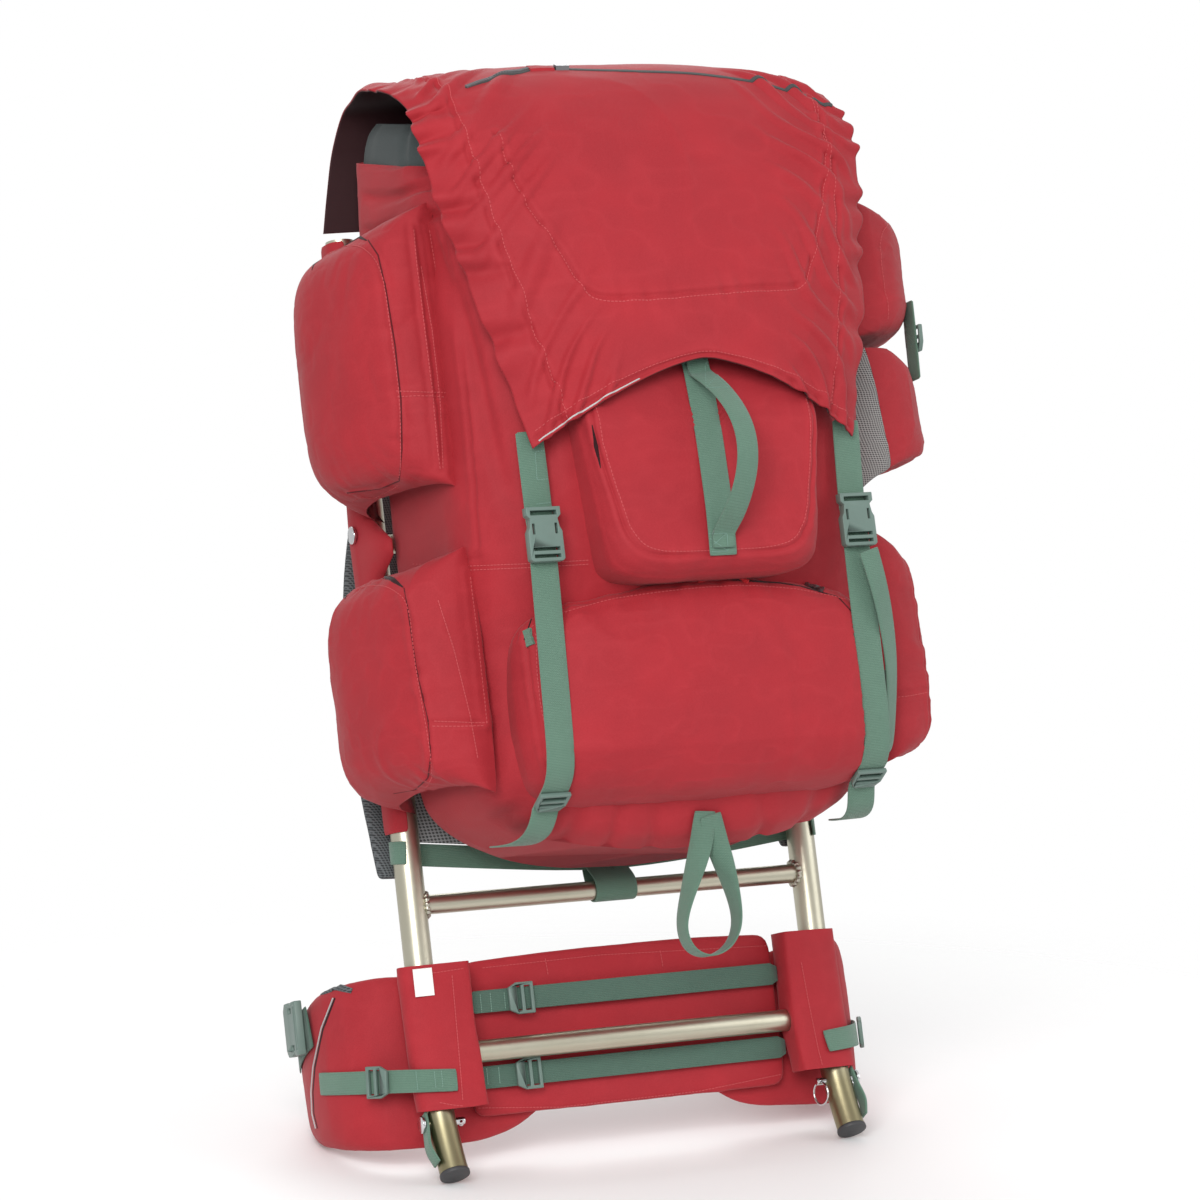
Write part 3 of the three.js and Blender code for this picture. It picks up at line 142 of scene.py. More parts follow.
class Finish:
    def __init__(self, name, roughness, metallic=0.0, specular=0.5):
        self.material = bpy.data.materials.new(name)
        self.material.use_nodes = True
        self.tree = self.material.node_tree
        self.shader = self.tree.nodes["Principled BSDF"]
        self.shader.inputs["Roughness"].default_value = roughness
        self.shader.inputs["Metallic"].default_value = metallic
        self.shader.inputs["Specular IOR Level"].default_value = specular

    def node(self, kind, settings, *values, out=0, **named):
        made = self.tree.nodes.new(kind)
        for key, value in settings.items():
            if key == "stops":
                for stop, (at, colour) in zip(made.color_ramp.elements, value):
                    stop.position = at
                    stop.color = colour
            else:
                setattr(made, key, value)
        pairs = list(enumerate(values)) + [(key.replace("_", " "), value) for key, value in named.items()]
        for key, value in pairs:
            if isinstance(value, Link):
                self.tree.links.new(value.socket, made.inputs[key])
            else:
                made.inputs[key].default_value = value
        return Link(self, made.outputs[out])

    def place(self):
        return self.node("ShaderNodeTexCoord", {}, out="Object")

    def parts(self, vector):
        split = self.node("ShaderNodeSeparateXYZ", {}, vector)
        outputs = split.socket.node.outputs
        return [Link(self, outputs[k]) for k in range(3)]

    def noise(self, vector, scale, detail=3.0, rough=0.5):
        return self.node("ShaderNodeTexNoise", {}, out="Fac", Vector=vector, Scale=scale, Detail=detail,
                         Roughness=rough)

    def mix(self, share, first, second):
        mixed = self.node("ShaderNodeMix", {"data_type": "RGBA"}, out=2)
        node = mixed.socket.node
        for key, value in ((0, share), (6, first), (7, second)):
            if isinstance(value, Link):
                self.tree.links.new(value.socket, node.inputs[key])
            else:
                node.inputs[key].default_value = value
        return mixed

    def feed(self, socket, link):
        self.tree.links.new(link.socket, self.shader.inputs[socket])

    def bump(self, height, strength, distance):
        bumped = self.node("ShaderNodeBump", {}, out="Normal", Height=height, Strength=strength,
                           Distance=distance)
        self.feed("Normal", bumped)


def linear(red, green, blue):
    def one(value):
        value = value / 255
        return value / 12.92 if value <= 0.04045 else ((value + 0.055) / 1.055) ** 2.4
    return (one(red), one(green), one(blue), 1.0)


# %% [markdown]
# The bag's cloth is a coated pack nylon: a plain weave about a millimetre fine, with a soft sheen and small
# shifts of tone. The weave is drawn as crossed waves in the bump, and slow noise moves the colour. A vertex
# attribute marks the crease ridges and seam puffs, and the colour is made paler there.


# %% Pack cloth
def cloth(name, base, light, shade, roughness=0.72, weave=0.0011, depth=0.35):
    finish = Finish(name, roughness, specular=0.3)
    at = finish.place()
    x, y, z = finish.parts(at)
    warp = (x + y * 0.6).wave(weave)
    weft = z.wave(weave)
    threads = warp * weft
    slow = finish.noise(at, 14.0, 4.0, 0.6)
    fine = finish.noise(at, 900.0, 2.0, 0.6)
    tone = finish.mix(slow ** 1.6, shade, base)
    tone = finish.mix(fine * 0.35, tone, light)
    crease = finish.node("ShaderNodeAttribute", {"attribute_name": "ridge_tone"}, out="Fac")
    # colour made paler along crease ridges and seam puffs
    tone = finish.mix(crease, tone, light)
    # painted shade: the points flagged as the inner shell are darkened towards a deep red-brown, for the
    # shade under the lid
    inner_shell_shade = finish.node("ShaderNodeAttribute", {"attribute_name": "inner_shell_shade"}, out="Fac")
    tone = finish.mix(inner_shell_shade, tone, linear(44, 14, 18))
    finish.feed("Base Color", tone)
    finish.feed("Roughness", 0.12 * slow + (roughness - 0.06))
    finish.bump(threads * 0.4 + fine * 0.8, depth, 0.0004)
    finish.shader.inputs["Sheen Weight"].default_value = 0.08
    finish.shader.inputs["Sheen Roughness"].default_value = 0.4
    return finish.material


red_cloth = cloth("red_pack_cloth", linear(172, 33, 43), linear(190, 58, 66), linear(140, 24, 34))
# painted shade: dark cloth laid in open zip slots, pocket mouths, a pleat and beside the wing piping
gap_shade_cloth = cloth("gap_shade_cloth", linear(46, 16, 20), linear(66, 26, 30), linear(34, 12, 16), 0.85)
# painted shade laid along the pocket seams
seam_shade = cloth("painted_seam_shade", linear(92, 18, 26), linear(120, 30, 38), linear(70, 12, 18), 0.85)
grey_lining = cloth("grey_lining", linear(74, 76, 76), linear(98, 100, 100), linear(52, 54, 54), 0.8)
grey_cloth = cloth("grey_collar_cloth", linear(66, 74, 74), linear(86, 94, 94), linear(52, 58, 58), 0.7)
zip_tape = cloth("grey_zip_tape", linear(112, 112, 114), linear(150, 150, 152), linear(84, 84, 87), 0.8)
binding = cloth("pale_binding", linear(196, 196, 194), linear(225, 225, 224), linear(160, 160, 160), 0.8)
thread = cloth("pale_red_thread", linear(196, 80, 84), linear(214, 110, 112), linear(170, 56, 62), 0.8)
green_thread = cloth("green_thread", linear(128, 160, 146), linear(150, 180, 168), linear(100, 130, 118),
                     0.8)
label_cloth = cloth("blank_label_cloth", linear(236, 236, 233), linear(250, 250, 248),
                    linear(222, 222, 219), 0.5)
pull_cord = cloth("bright_red_pull", linear(212, 38, 46), linear(235, 80, 84), linear(180, 26, 34), 0.6)


# %% [markdown]
# Webbing is a flat woven band with ribs across it and firm edges. Its finish reads the piece's own place,
# and the ribs are cut by slow noise so that they never look printed.


# %% Webbing
def webbing(name, base, light, shade):
    finish = Finish(name, 0.7, specular=0.3)
    at = finish.place()
    x, y, z = finish.parts(at)
    ribs = (z + y * 0.3 + x * 0.2).wave(0.0022)
    cross = (x - y * 0.5).wave(0.0016)
    slow = finish.noise(at, 40.0, 3.0, 0.6)
    fine = finish.noise(at, 700.0, 2.0, 0.6)
    tone = finish.mix(slow, shade, base)
    tone = finish.mix(fine * 0.5, tone, light)
    tone = finish.mix(ribs.above(0.1) * 0.3, tone, shade)
    tone = finish.mix((ribs * cross).above(0.35) * 0.3, tone, shade)
    finish.feed("Base Color", tone)
    finish.feed("Roughness", 0.2 * slow + 0.6)
    finish.bump(ribs * cross + fine, 0.5, 0.0005)
    finish.shader.inputs["Sheen Weight"].default_value = 0.2
    return finish.material


green_webbing = webbing("sage_webbing", linear(92, 126, 108), linear(126, 158, 140), linear(72, 102, 86))
belt_webbing = webbing("dark_sage_webbing", linear(74, 104, 90), linear(104, 134, 120), linear(56, 82, 70))


# %% [markdown]
# Hard fittings are moulded nylon with a faint grain, and the tube is drawn aluminium with a warm anodised
# skin, brushed lightly along its length and marked where straps rub it.


# %% Plastic and metal
def moulded(name, base, light, roughness=0.42):
    finish = Finish(name, roughness, specular=0.5)
    at = finish.place()
    slow = finish.noise(at, 60.0, 3.0, 0.5)
    grain = finish.noise(at, 1600.0, 2.0, 0.5)
    finish.feed("Base Color", finish.mix(slow * 0.5, base, light))
    finish.feed("Roughness", 0.15 * grain + (roughness - 0.05))
    finish.bump(grain, 0.25, 0.0002)
    return finish.material


def metal(name, base, worn, roughness, brush=0.0003, foot=None):
    finish = Finish(name, roughness, metallic=1.0)
    at = finish.place()
    slow = finish.noise(at, 18.0, 4.0, 0.6)
    scuffs = finish.noise(at, 220.0, 3.0, 0.7)
    tone = finish.mix(slow, base, worn)
    if foot is not None:
        height = finish.parts(at)[2]
        low = finish.node("ShaderNodeMapRange", {}, height, 0.05, 0.11, 1.0, 0.0)
        tone = finish.mix(low, tone, foot)
    finish.feed("Base Color", tone)
    finish.feed("Roughness", 0.16 * scuffs + (roughness - 0.06))
    finish.bump(scuffs, 0.08, brush)
    return finish.material


buckle_plastic = moulded("sage_buckle_plastic", linear(92, 112, 104), linear(112, 134, 126))
# dark plastic of the foot caps, also used as painted shade in the open rail holes
cap_plastic_and_hole_shade = moulded("dark_cap_plastic_and_hole_shade", linear(48, 48, 50), linear(70, 70, 72), 0.5)
tube_metal = metal("champagne_aluminium", linear(206, 203, 186), linear(190, 185, 164), 0.34,
                   foot=linear(146, 138, 108))
weld_metal = metal("weld_bead_metal", linear(206, 204, 192), linear(160, 156, 140), 0.38)
chrome_metal = metal("bright_chrome", linear(225, 225, 226), linear(205, 206, 208), 0.14)
zip_metal = metal("dull_zip_metal", linear(150, 150, 152), linear(120, 120, 122), 0.35)


# %% [markdown]
# Mesh cloth is a net of small diamonds with dark gaps. The net is drawn by two crossed waves that leave the
# knots pale and the holes dark, and the same waves press the holes in.


# %% Mesh cloth
def net(name, knot, hole, pitch):
    finish = Finish(name, 0.8, specular=0.3)
    at = finish.place()
    x, y, z = finish.parts(at)
    side = x * 0.8 + y * 0.7
    crossed = (side + z).wave(pitch) * (side - z).wave(pitch)
    gap = crossed.above(0.12)
    slow = finish.noise(at, 30.0, 3.0, 0.6)
    tone = finish.mix(gap * (0.75 + 0.2 * slow), knot, hole)
    finish.feed("Base Color", tone)
    finish.bump(1 - gap, 0.6, 0.0006)
    return finish.material


grey_mesh = net("grey_padded_mesh", linear(96, 100, 102), linear(40, 42, 44), 0.0042)
back_mesh = net("back_band_mesh", linear(150, 153, 153), linear(46, 48, 50), 0.0056)
bottle_net = net("bottle_pocket_mesh", linear(150, 148, 146), linear(46, 40, 42), 0.0036)

# %% [markdown]
# The cloth pieces share one way of making: a grid is added, its points are carried to the piece's form, the
# surface is creased by smooth noise, and a wall gives it thickness. Smooth noise is written out here,
# because every piece needs the same folds on every run.

# %% Smooth noise
LATTICE_SIZE = 32
LATTICE = np.random.default_rng(7).uniform(-1, 1, (LATTICE_SIZE,) * 3)


def noise(points, scale, shift=0.0):
    p = np.asarray(points, float) / scale + shift
    low = np.floor(p).astype(int)
    part = p - low
    part = part * part * (3 - 2 * part)
    total = np.zeros(len(p))
    for dx in (0, 1):
        for dy in (0, 1):
            for dz in (0, 1):
                share = (abs(1 - dx - part[:, 0]) * abs(1 - dy - part[:, 1]) * abs(1 - dz - part[:, 2]))
                at = (low + (dx, dy, dz)) % LATTICE_SIZE
                total += share * LATTICE[at[:, 0], at[:, 1], at[:, 2]]
    return total


def creases(points, scale, shift=0.0):
    return (1 - np.abs(noise(points, scale, shift)) * 2) ** 3


def smooth_step(value, start, end):
    t = np.clip((value - start) / (end - start), 0, 1)
    return t * t * (3 - 2 * t)


def catmull(values, at):
    values = np.asarray(values, float)
    last = len(values) - 1
    low = np.clip(np.floor(at).astype(int), 0, last - 1)
    t = np.asarray(at, float) - low
    p0, p1 = values[np.clip(low - 1, 0, last)], values[low]
    p2, p3 = values[low + 1], values[np.clip(low + 2, 0, last)]
    return 0.5 * (2 * p1 + (p2 - p0) * t + (2 * p0 - 5 * p1 + 4 * p2 - p3) * t**2
                  + (3 * p1 - p0 - 3 * p2 + p3) * t**3)


# %% Making and finishing a mesh
def only(piece):
    bpy.ops.object.select_all(action="DESELECT")
    piece.select_set(True)
    bpy.context.view_layer.objects.active = piece


def finish_piece(piece, name, material, replaced=()):
    piece.name = name
    piece.data.name = name
    piece.data.materials.clear()
    piece.data.materials.append(material)
    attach(piece, "root")
    if replaced:
        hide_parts(*replaced)
    return piece


def apply(piece, kind, **settings):
    only(piece)
    modifier = piece.modifiers.new(kind.lower(), kind)
    for key, value in settings.items():
        setattr(modifier, key, value)
    bpy.ops.object.modifier_apply(modifier=modifier.name)


def coordinates(mesh):
    out = np.empty(len(mesh.vertices) * 3)
    mesh.vertices.foreach_get("co", out)
    return out.reshape(-1, 3)


def set_coordinates(mesh, points):
    mesh.vertices.foreach_set("co", np.asarray(points, float).ravel())
    mesh.update()


def normals(mesh):
    out = np.empty(len(mesh.vertices) * 3)
    mesh.vertex_normals.foreach_get("vector", out)
    return out.reshape(-1, 3)


def grid(across, along):
    bpy.ops.object.select_all(action="DESELECT")
    bpy.ops.mesh.primitive_grid_add(x_subdivisions=across, y_subdivisions=along, size=1)
    piece = bpy.context.object
    flat = coordinates(piece.data)
    return piece, flat[:, 0] + 0.5, flat[:, 1] + 0.5


def face_out(piece):
    only(piece)
    bpy.ops.object.mode_set(mode="EDIT")
    bpy.ops.mesh.select_all(action="SELECT")
    bpy.ops.mesh.remove_doubles(threshold=0.00002)
    bpy.ops.mesh.normals_make_consistent(inside=False)
    bpy.ops.object.mode_set(mode="OBJECT")


def ridge_tone_attribute(piece, values):
    layer = piece.data.attributes.new("ridge_tone", "FLOAT", "POINT")
    layer.data.foreach_set("value", np.clip(values, 0, 1))


# Flags the points that the solidify appended after the outer ones, so that the finish paints shade on the
# inner shell.
def shade_inner_shell(piece, outer):
    inner = np.zeros(len(piece.data.vertices))
    inner[outer:] = 1
    layer = piece.data.attributes.new("inner_shell_shade", "FLOAT", "POINT")
    layer.data.foreach_set("value", inner)


def nearest_on(route, points):
    route = np.asarray(route, float)
    best = np.full(len(points), 1e9)
    along = np.zeros(len(points))
    run = 0.0
    for a, b in zip(route[:-1], route[1:]):
        span = b - a
        length = np.linalg.norm(span)
        t = np.clip(((points - a) @ span) / max(length**2, 1e-9), 0, 1)
        far = np.linalg.norm(points - (a + t[:, None] * span), axis=1)
        closer = far < best
        best = np.where(closer, far, best)
        along = np.where(closer, run + t * length, along)
        run += length
    return best, along


GROOVE_DEPTH, GROOVE_WIDTH = 1.5, 1.6
RIDGE_OFF, RIDGE_WIDTH = 4.5, 3.2
PUCKER_PITCH, PUCKER_REACH = 8.0, 16.0


def seam_relief(points, seams):
    lift = np.zeros(len(points))
    for k, (route, pucker) in enumerate(seams):
        far, along = nearest_on(route, points)
        groove = -GROOVE_DEPTH * np.exp(-((far / GROOVE_WIDTH) ** 2))
        ridge = np.exp(-(((far - RIDGE_OFF) / RIDGE_WIDTH) ** 2))
        ripple = noise(np.column_stack([along, far * 0.2, np.full(len(far), k * 9.0)]), PUCKER_PITCH)
        lift += groove + ridge + pucker * ripple * np.exp(-far / PUCKER_REACH)
    return lift


def crumple(piece, seams=(), depth=1.0, scale=60.0, shift=0.0, hold=None):
    spots = upright(coordinates(piece.data))
    big = noise(spots, scale * 1.6, shift) * 2.2
    folds = creases(spots * [1, 1, 0.7], scale * 1.2, shift + 3.1) * 1.0
    small = creases(spots * [1, 1, 1.6], scale * 0.4, shift + 5.7) * 0.3
    lift = depth * (big + folds + small)
    if hold is not None:
        lift *= hold
    lift += seam_relief(spots, seams)
    ways = normals(piece.data)
    set_coordinates(piece.data, coordinates(piece.data) + ways * lift[:, None] / 1000)
    ridge_tone_attribute(piece, 0.1 * (small / 0.3) + 0.05 * np.clip(seam_relief(spots, seams), 0, 2))


# %% [markdown]
# Where webbing lies on cloth, the cloth is pressed back under it. Each cloth point that would stand in front
# of the band is moved to just behind the band's back face.


# %% Pressing cloth under webbing
def solid_tree(node):
    made = bmesh.new()
    made.from_mesh(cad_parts[node].data)
    tree = BVHTree.FromBMesh(made)
    made.free()
    return tree


def tuck(piece, nodes, way, gap=0.0004, ahead=0.06):
    back = Vector(turn(way)[0]).normalized()
    points = coordinates(piece.data)
    for node in nodes:
        tree = solid_tree(node)
        corners = coordinates(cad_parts[node].data)
        near = np.all((points > corners.min(0) - 0.004) & (points < corners.max(0) + 0.004), axis=1)
        for k in np.flatnonzero(near):
            start = Vector(points[k]) - back * ahead
            front_hit = tree.ray_cast(start, back)[0]
            if front_hit is None:
                continue
            back_hit = tree.ray_cast(front_hit + back * 0.0002, back, 0.004)[0] or front_hit
            target = back_hit + back * gap
            if (Vector(points[k]) - target).dot(back) < 0:
                points[k] = target
    set_coordinates(piece.data, points)


# %% [markdown]
# Stitches are short proud threads. Each row follows its seam, and every stitch is dropped onto the cloth
# under it, so one small box is copied along the row and the row becomes one mesh.


# %% Stitch rows and piping
def surface_of(pieces):
    trees = []
    for piece in pieces:
        made = bmesh.new()
        made.from_mesh(piece.data)
        trees.append(BVHTree.FromBMesh(made))
        made.free()
    return trees


def dropped(trees, point, way):
    best = None
    start = Vector(place(point)[0])
    aim = Vector(turn(way)[0]).normalized()
    for tree in trees:
        spot, normal, _, far = tree.ray_cast(start - aim * 0.25, aim)
        if spot is not None and (best is None or far < best[2]):
            best = (spot, normal if normal.dot(aim) < 0 else -normal, far)
    return best


SIGHT_RIGHT, SIGHT_UP = (camera.rotation_euler.to_matrix() @ Vector(way) for way in ((1, 0, 0), (0, 1, 0)))
PICTURE = 1200
FOCAL = LENS / SENSOR * PICTURE


def sighted(trees, point):
    across, down = (value - PICTURE / 2 for value in point[:2])
    aim = SIGHT_RIGHT * across / FOCAL - SIGHT_UP * down / FOCAL - towards
    best = None
    for tree in trees:
        spot, normal, _, far = tree.ray_cast(camera.location, aim.normalized())
        if spot is not None and (best is None or far < best[2]):
            best = (spot, normal if normal.dot(aim) < 0 else -normal, far)
    return best


def landed(trees, spots, way):
    if way == "camera":
        return [sighted(trees, spot) for spot in spots]
    return [dropped(trees, spot, way) for spot in spots]


def even(route, pitch):
    route = np.asarray(route, float)
    lengths = np.r_[0, np.cumsum(np.linalg.norm(np.diff(route, axis=0), axis=1))]
    steps = np.arange(0, lengths[-1], pitch)
    return np.column_stack([np.interp(steps, lengths, route[:, k]) for k in range(3)])


def rounded(route, count=40):
    at = np.linspace(0, len(route) - 1, count)
    route = np.asarray(route, float)
    return np.column_stack([catmull(route[:, k], at) for k in range(3)])


def sheet_route(route):
    return [(*point, 0) if len(point) == 2 else point for point in route]


def stitches(name, routes, trees, way, material=thread, pitch=3.4, length=2.3, width=0.7,
             low=-0.3, high=0.35):
    points, faces = [], []
    for route in routes:
        hits = landed(trees, even(sheet_route(route), pitch), way)
        for before, after in zip(hits[:-1], hits[1:]):
            if before is None or after is None:
                continue
            run = after[0] - before[0]
            if run.length > pitch * 0.003 or run.length < 1e-5:
                continue
            along = run.normalized()
            out = before[1]
            across = along.cross(out).normalized()
            middle = before[0] + run * 0.5 + out * 0.00012
            first = len(points)
            for sx, sy in ((-1, -1), (1, -1), (1, 1), (-1, 1)):
                for lift in (low, high):
                    points.append(middle + along * sx * length * 0.0005 + across * sy * width * 0.0005
                                  + out * lift / 1000)
            a = first
            faces += [(a, a + 2, a + 4, a + 6), (a + 7, a + 5, a + 3, a + 1), (a, a + 1, a + 3, a + 2),
                      (a + 2, a + 3, a + 5, a + 4), (a + 4, a + 5, a + 7, a + 6), (a + 6, a + 7, a + 1, a)]
    if not points:
        print("no stitches landed for", name)
        return None
    mesh = bpy.data.meshes.new(name)
    mesh.from_pydata(points, [], faces)
    piece = bpy.data.objects.new(name, mesh)
    bpy.context.collection.objects.link(piece)
    face_out(piece)
    print(name, len(points) // 8, "stitches")
    return finish_piece(piece, name, material)


# %% [markdown]
# Zip tape, piping and binding are low strips laid on the cloth, and so is painted shade: the dark slots of
# open zips and pocket mouths, a pleat, and the shade beside seams and piping. A strip may swell and narrow
# along its route, so the painted shade in an open zip mouth is a strip with pointed ends.


# %% Strips laid on cloth
def strip(name, route, trees, way, widths, material, lift=0.5, step=2.0):
    spots = even(sheet_route(route), step)
    hits = landed(trees, spots, way)
    share = np.linspace(0, 1, len(hits))
    width = np.interp(share, np.linspace(0, 1, len(widths)), widths)
    rows = []
    for k, hit in enumerate(hits):
        near = [h for h in hits[max(0, k - 1):k + 2] if h is not None]
        if hit is None or len(near) < 2 or (near[-1][0] - near[0][0]).length > step * 0.012:
            continue
        across = (near[-1][0] - near[0][0]).normalized().cross(hit[1]).normalized()
        rows.append([hit[0] + across * side * width[k] * 0.0005 + hit[1] * high / 1000
                     for side, high in ((-1, -0.6), (-0.8, lift), (0.8, lift), (1, -0.6))])
    if len(rows) < 3:
        print("no strip landed for", name)
        return None
    points = [point for row in rows for point in row]
    faces = [(0, 1, 2, 3), tuple(len(points) - 1 - k for k in range(4))]
    for k in range(len(rows) - 1):
        for a, b in ((0, 1), (1, 2), (2, 3), (3, 0)):
            faces.append((4 * k + a, 4 * k + b, 4 * k + 4 + b, 4 * k + 4 + a))
    mesh = bpy.data.meshes.new(name)
    mesh.from_pydata(points, [], faces)
    piece = bpy.data.objects.new(name, mesh)
    bpy.context.collection.objects.link(piece)
    face_out(piece)
    bpy.ops.object.shade_smooth_by_angle(angle=math.radians(50))
    return finish_piece(piece, name, material)


# %% [markdown]
# The bag itself is a tall rounded box, slack near its foot and pulled up at the bottom corners. Its
# sections are superellipses. The table gives each one's height, half width, front and back, how far its
# corners rise, and how far its rim tips.

# %% The bag
BAG_ROWS = np.array([
    # z, half, front, back, rise, rim
    [256, 140, -178, -36, 1.0, 0],
    [267, 168, -200, -21, 0.85, 0],
    [292, 185, -215, -15, 0.5, 0],
    [330, 192, -223, -14.5, 0.15, 0],
    [400, 193, -227, -14.5, 0, 0],
    [455, 193, -238, -14.5, 0, 0],
    [505, 192, -257, -14.5, 0, 0],
    [570, 193, -267, -14.5, 0, 0],
    [650, 194, -274, -14.5, 0, 0],
    [745, 195, -272, -14.5, 0, 0],
    [820, 194, -258, -14.5, 0, 0.1],
    [870, 191, -236, -14.5, 0, 0.6],
    [908, 187, -206, -14.5, 0, 1],
])
FRONT_POWER, BACK_POWER = 3.5, 8
WALL = 1.6
CORNER_RISE, CORNER_OUT = 46, 190
RIM_TIP = 0.285
FOOT_TOP = 330
LONG_FOLD, RIM_FOLD, LOW_FOLD = 5.0, 7.0, 3.5


def bag_points(u, at, inset=0.0, height=None):
    z, half, front, back, rise, rim = [catmull(BAG_ROWS[:, k], at) for k in range(6)]
    if height is not None:
        z = height
    angle = 2 * np.pi * u + np.pi / 2
    c, s = np.cos(angle), np.sin(angle)
    power = np.where(s > 0, 2 / BACK_POWER, 2 / FRONT_POWER)
    x = (half - inset) * np.sign(c) * np.abs(c) ** power
    y = (front + back) / 2 + ((back - front) / 2 - inset) * np.sign(s) * np.abs(s) ** power
    z = z + rise * CORNER_RISE * (np.abs(x) / CORNER_OUT) ** 2.4 + rim * RIM_TIP * y
    return np.column_stack([x, y, z])


def bag_folds(spots):
    x, y, z = spots.T
    sway = noise(spots, 90.0, 4.4)
    side = smooth_step(np.abs(x), 100, 150)
    long_zone = side * smooth_step(z, 530, 600) * (1 - smooth_step(z, 760, 840)) * smooth_step(-y, 120, 190)
    long_folds = np.maximum(0, np.sin(2 * np.pi * (x / 40 + z / 240) + 2.5 * sway)) ** 1.5
    rim_zone = smooth_step(z, 770, 820) * (1 - smooth_step(z, 868, 900)) * smooth_step(-y, 40, 110)
    rim_folds = np.maximum(0, np.sin(2 * np.pi * (z / 30 - y / 130) + 3 * sway)) ** 1.5
    low_zone = smooth_step(-z, -330, -290) * smooth_step(-y, 100, 180)
    low_folds = np.maximum(0, np.sin(2 * np.pi * x / 46 + 3 * sway)) ** 2
    return -(LONG_FOLD * long_zone * long_folds + RIM_FOLD * rim_zone * rim_folds
             + LOW_FOLD * low_zone * low_folds)


BAG_SEAMS = [
    (rounded([(-197, -165, 512), (-185, -205, 512), (-150, -232, 512), (-100, -250, 510), (0, -256, 509),
              (100, -250, 510), (150, -232, 512), (185, -205, 512), (197, -165, 512)]), 1.6),
]
BAG_SIDE_SEAMS = [
    rounded([(-171, -212, 272), (-168, -218, 330), (-170, -215, 400), (-168, -225, 455)]),
    rounded([(-182, -212, 520), (-183, -222, 620), (-184, -224, 740), (-182, -208, 820), (-178, -190, 870)]),
]
BAG_SEAMS += [(route * [side, 1, 1], 1.2) for route in BAG_SIDE_SEAMS for side in (1, -1)]

bag, u, v = grid(260, 200)
at = v * (len(BAG_ROWS) - 1)
set_coordinates(bag.data, place(bag_points(u, at)))
face_out(bag)
base = bmesh.new()
base.from_mesh(bag.data)
rims = [edge for edge in base.edges if edge.is_boundary]
bmesh.ops.holes_fill(base, edges=[edge for edge in rims if upright([edge.verts[0].co])[0][2] < FOOT_TOP])
base.to_mesh(bag.data)
base.free()
bag_spots = upright(coordinates(bag.data))
bag_height = bag_spots[:, 2]
set_coordinates(bag.data, coordinates(bag.data) + normals(bag.data) * bag_folds(bag_spots)[:, None] / 1000)
crumple(bag, BAG_SEAMS, 1.0, 60.0, hold=0.55 + 0.45 * smooth_step(bag_height, 300, 420))
BAND_NODES = [f"{kind}_{word}" for kind in ("bag_strap", "lid_strap") for word in ("left", "right")]
tuck(bag, BAND_NODES, (0, 1, 0))
apply(bag, "SOLIDIFY", thickness=WALL / 1000, offset=-1)
bpy.ops.object.shade_smooth()
finish_piece(bag, "bag_body", red_cloth, ["main_bag"])

# %% [markdown]
# Above the bag's rim stands a collar of thin grey nylon, gathered by a drawcord. Its gathers grow towards
# the top, where the cord pulls the cloth in.

# %% The collar
COLLAR = np.array([(874, 3.5), (908, 6), (932, 12), (944, 20)], float)
collar, u, v = grid(320, 40)
at = v * (len(COLLAR) - 1)
inset = catmull(COLLAR[:, 1], at)
height = catmull(COLLAR[:, 0], at)
gather = np.sin(2 * np.pi * u * 22 + 2 * np.sin(2 * np.pi * u * 7)) * (0.3 + 1.4 * v)
set_coordinates(collar.data, place(bag_points(u, np.full(len(u), 12.0), inset - gather, height=height)))
face_out(collar)
crumple(collar, (), 0.4, 24.0, 4.0)
apply(collar, "SOLIDIFY", thickness=0.0012, offset=-1)
bpy.ops.object.shade_smooth()
finish_piece(collar, "gathered_collar", grey_cloth, ["collar"])

# %% [markdown]
# The lid is one big flap: sewn to the frame side, up over the mouth and down the front to an arched hem
# whose corners end in webbing. Its two long edges are gathered into scalloped channels, and a panel
# seam, stitch rows and a zip run over it. The rows below follow it from the back hem to the arch.

# %% The lid
LID_ROWS = np.array([
    # middle y, middle z, edge x, edge y, edge z
    [-12.2, 843, 207, 2, 843],
    [-12.2, 880, 200, 0, 880],
    [-8, 915, 192, -3, 917],
    [-18, 950, 184, -18, 948],
    [-62, 958, 189, -62, 948],
    [-122, 957, 197, -122, 940],
    [-180, 947, 203, -176, 922],
    [-224, 926, 206, -212, 901],
    [-254, 893, 208, -233, 871],
    [-277, 850, 207, -242, 843],
    [-292, 801, 200, -247, 801],
    [-303, 754, 190, -254, 757],
    [-309, 712, 179, -262, 706],
    [-312, 683, 166, -268, 652],
    [-311, 656, 150, -272, 590],
])
LID_LAST = len(LID_ROWS) - 1
CHANNEL_FROM = 0.8


def lid_points(at, s):
    mid_y, mid_z, edge_x, edge_y, edge_z = [catmull(LID_ROWS[:, k], at) for k in range(5)]
    share = np.abs(s) ** 2.9
    hem = np.abs(s) ** 1.45
    blend = np.maximum(0, (at - (LID_LAST - 2)) / 2)
    lift = share + (hem - share) * blend
    x = s * edge_x
    y = mid_y + (edge_y - mid_y) * share
    z = mid_z + (edge_z - mid_z) * lift
    reach = np.clip((np.abs(s) - CHANNEL_FROM) / (1 - CHANNEL_FROM), 0, 1)
    fade = smooth_step(at, 4.4, 5.4) * (1 - smooth_step(at, LID_LAST - 1.2, LID_LAST - 0.3))
    wobble = 0.16 * np.sin(at * 2.3 + 1.0) + 0.1 * np.sin(at * 5.1)
    wave = np.sin(2 * np.pi * (at + wobble) / 0.78)
    x = x + np.sign(s) * wave * fade * reach * np.where(s < 0, 3.6, 1.9)
    y = y - wave * fade * reach * np.where(s < 0, 4.2, 2.4)
    return np.column_stack([x, y, z])


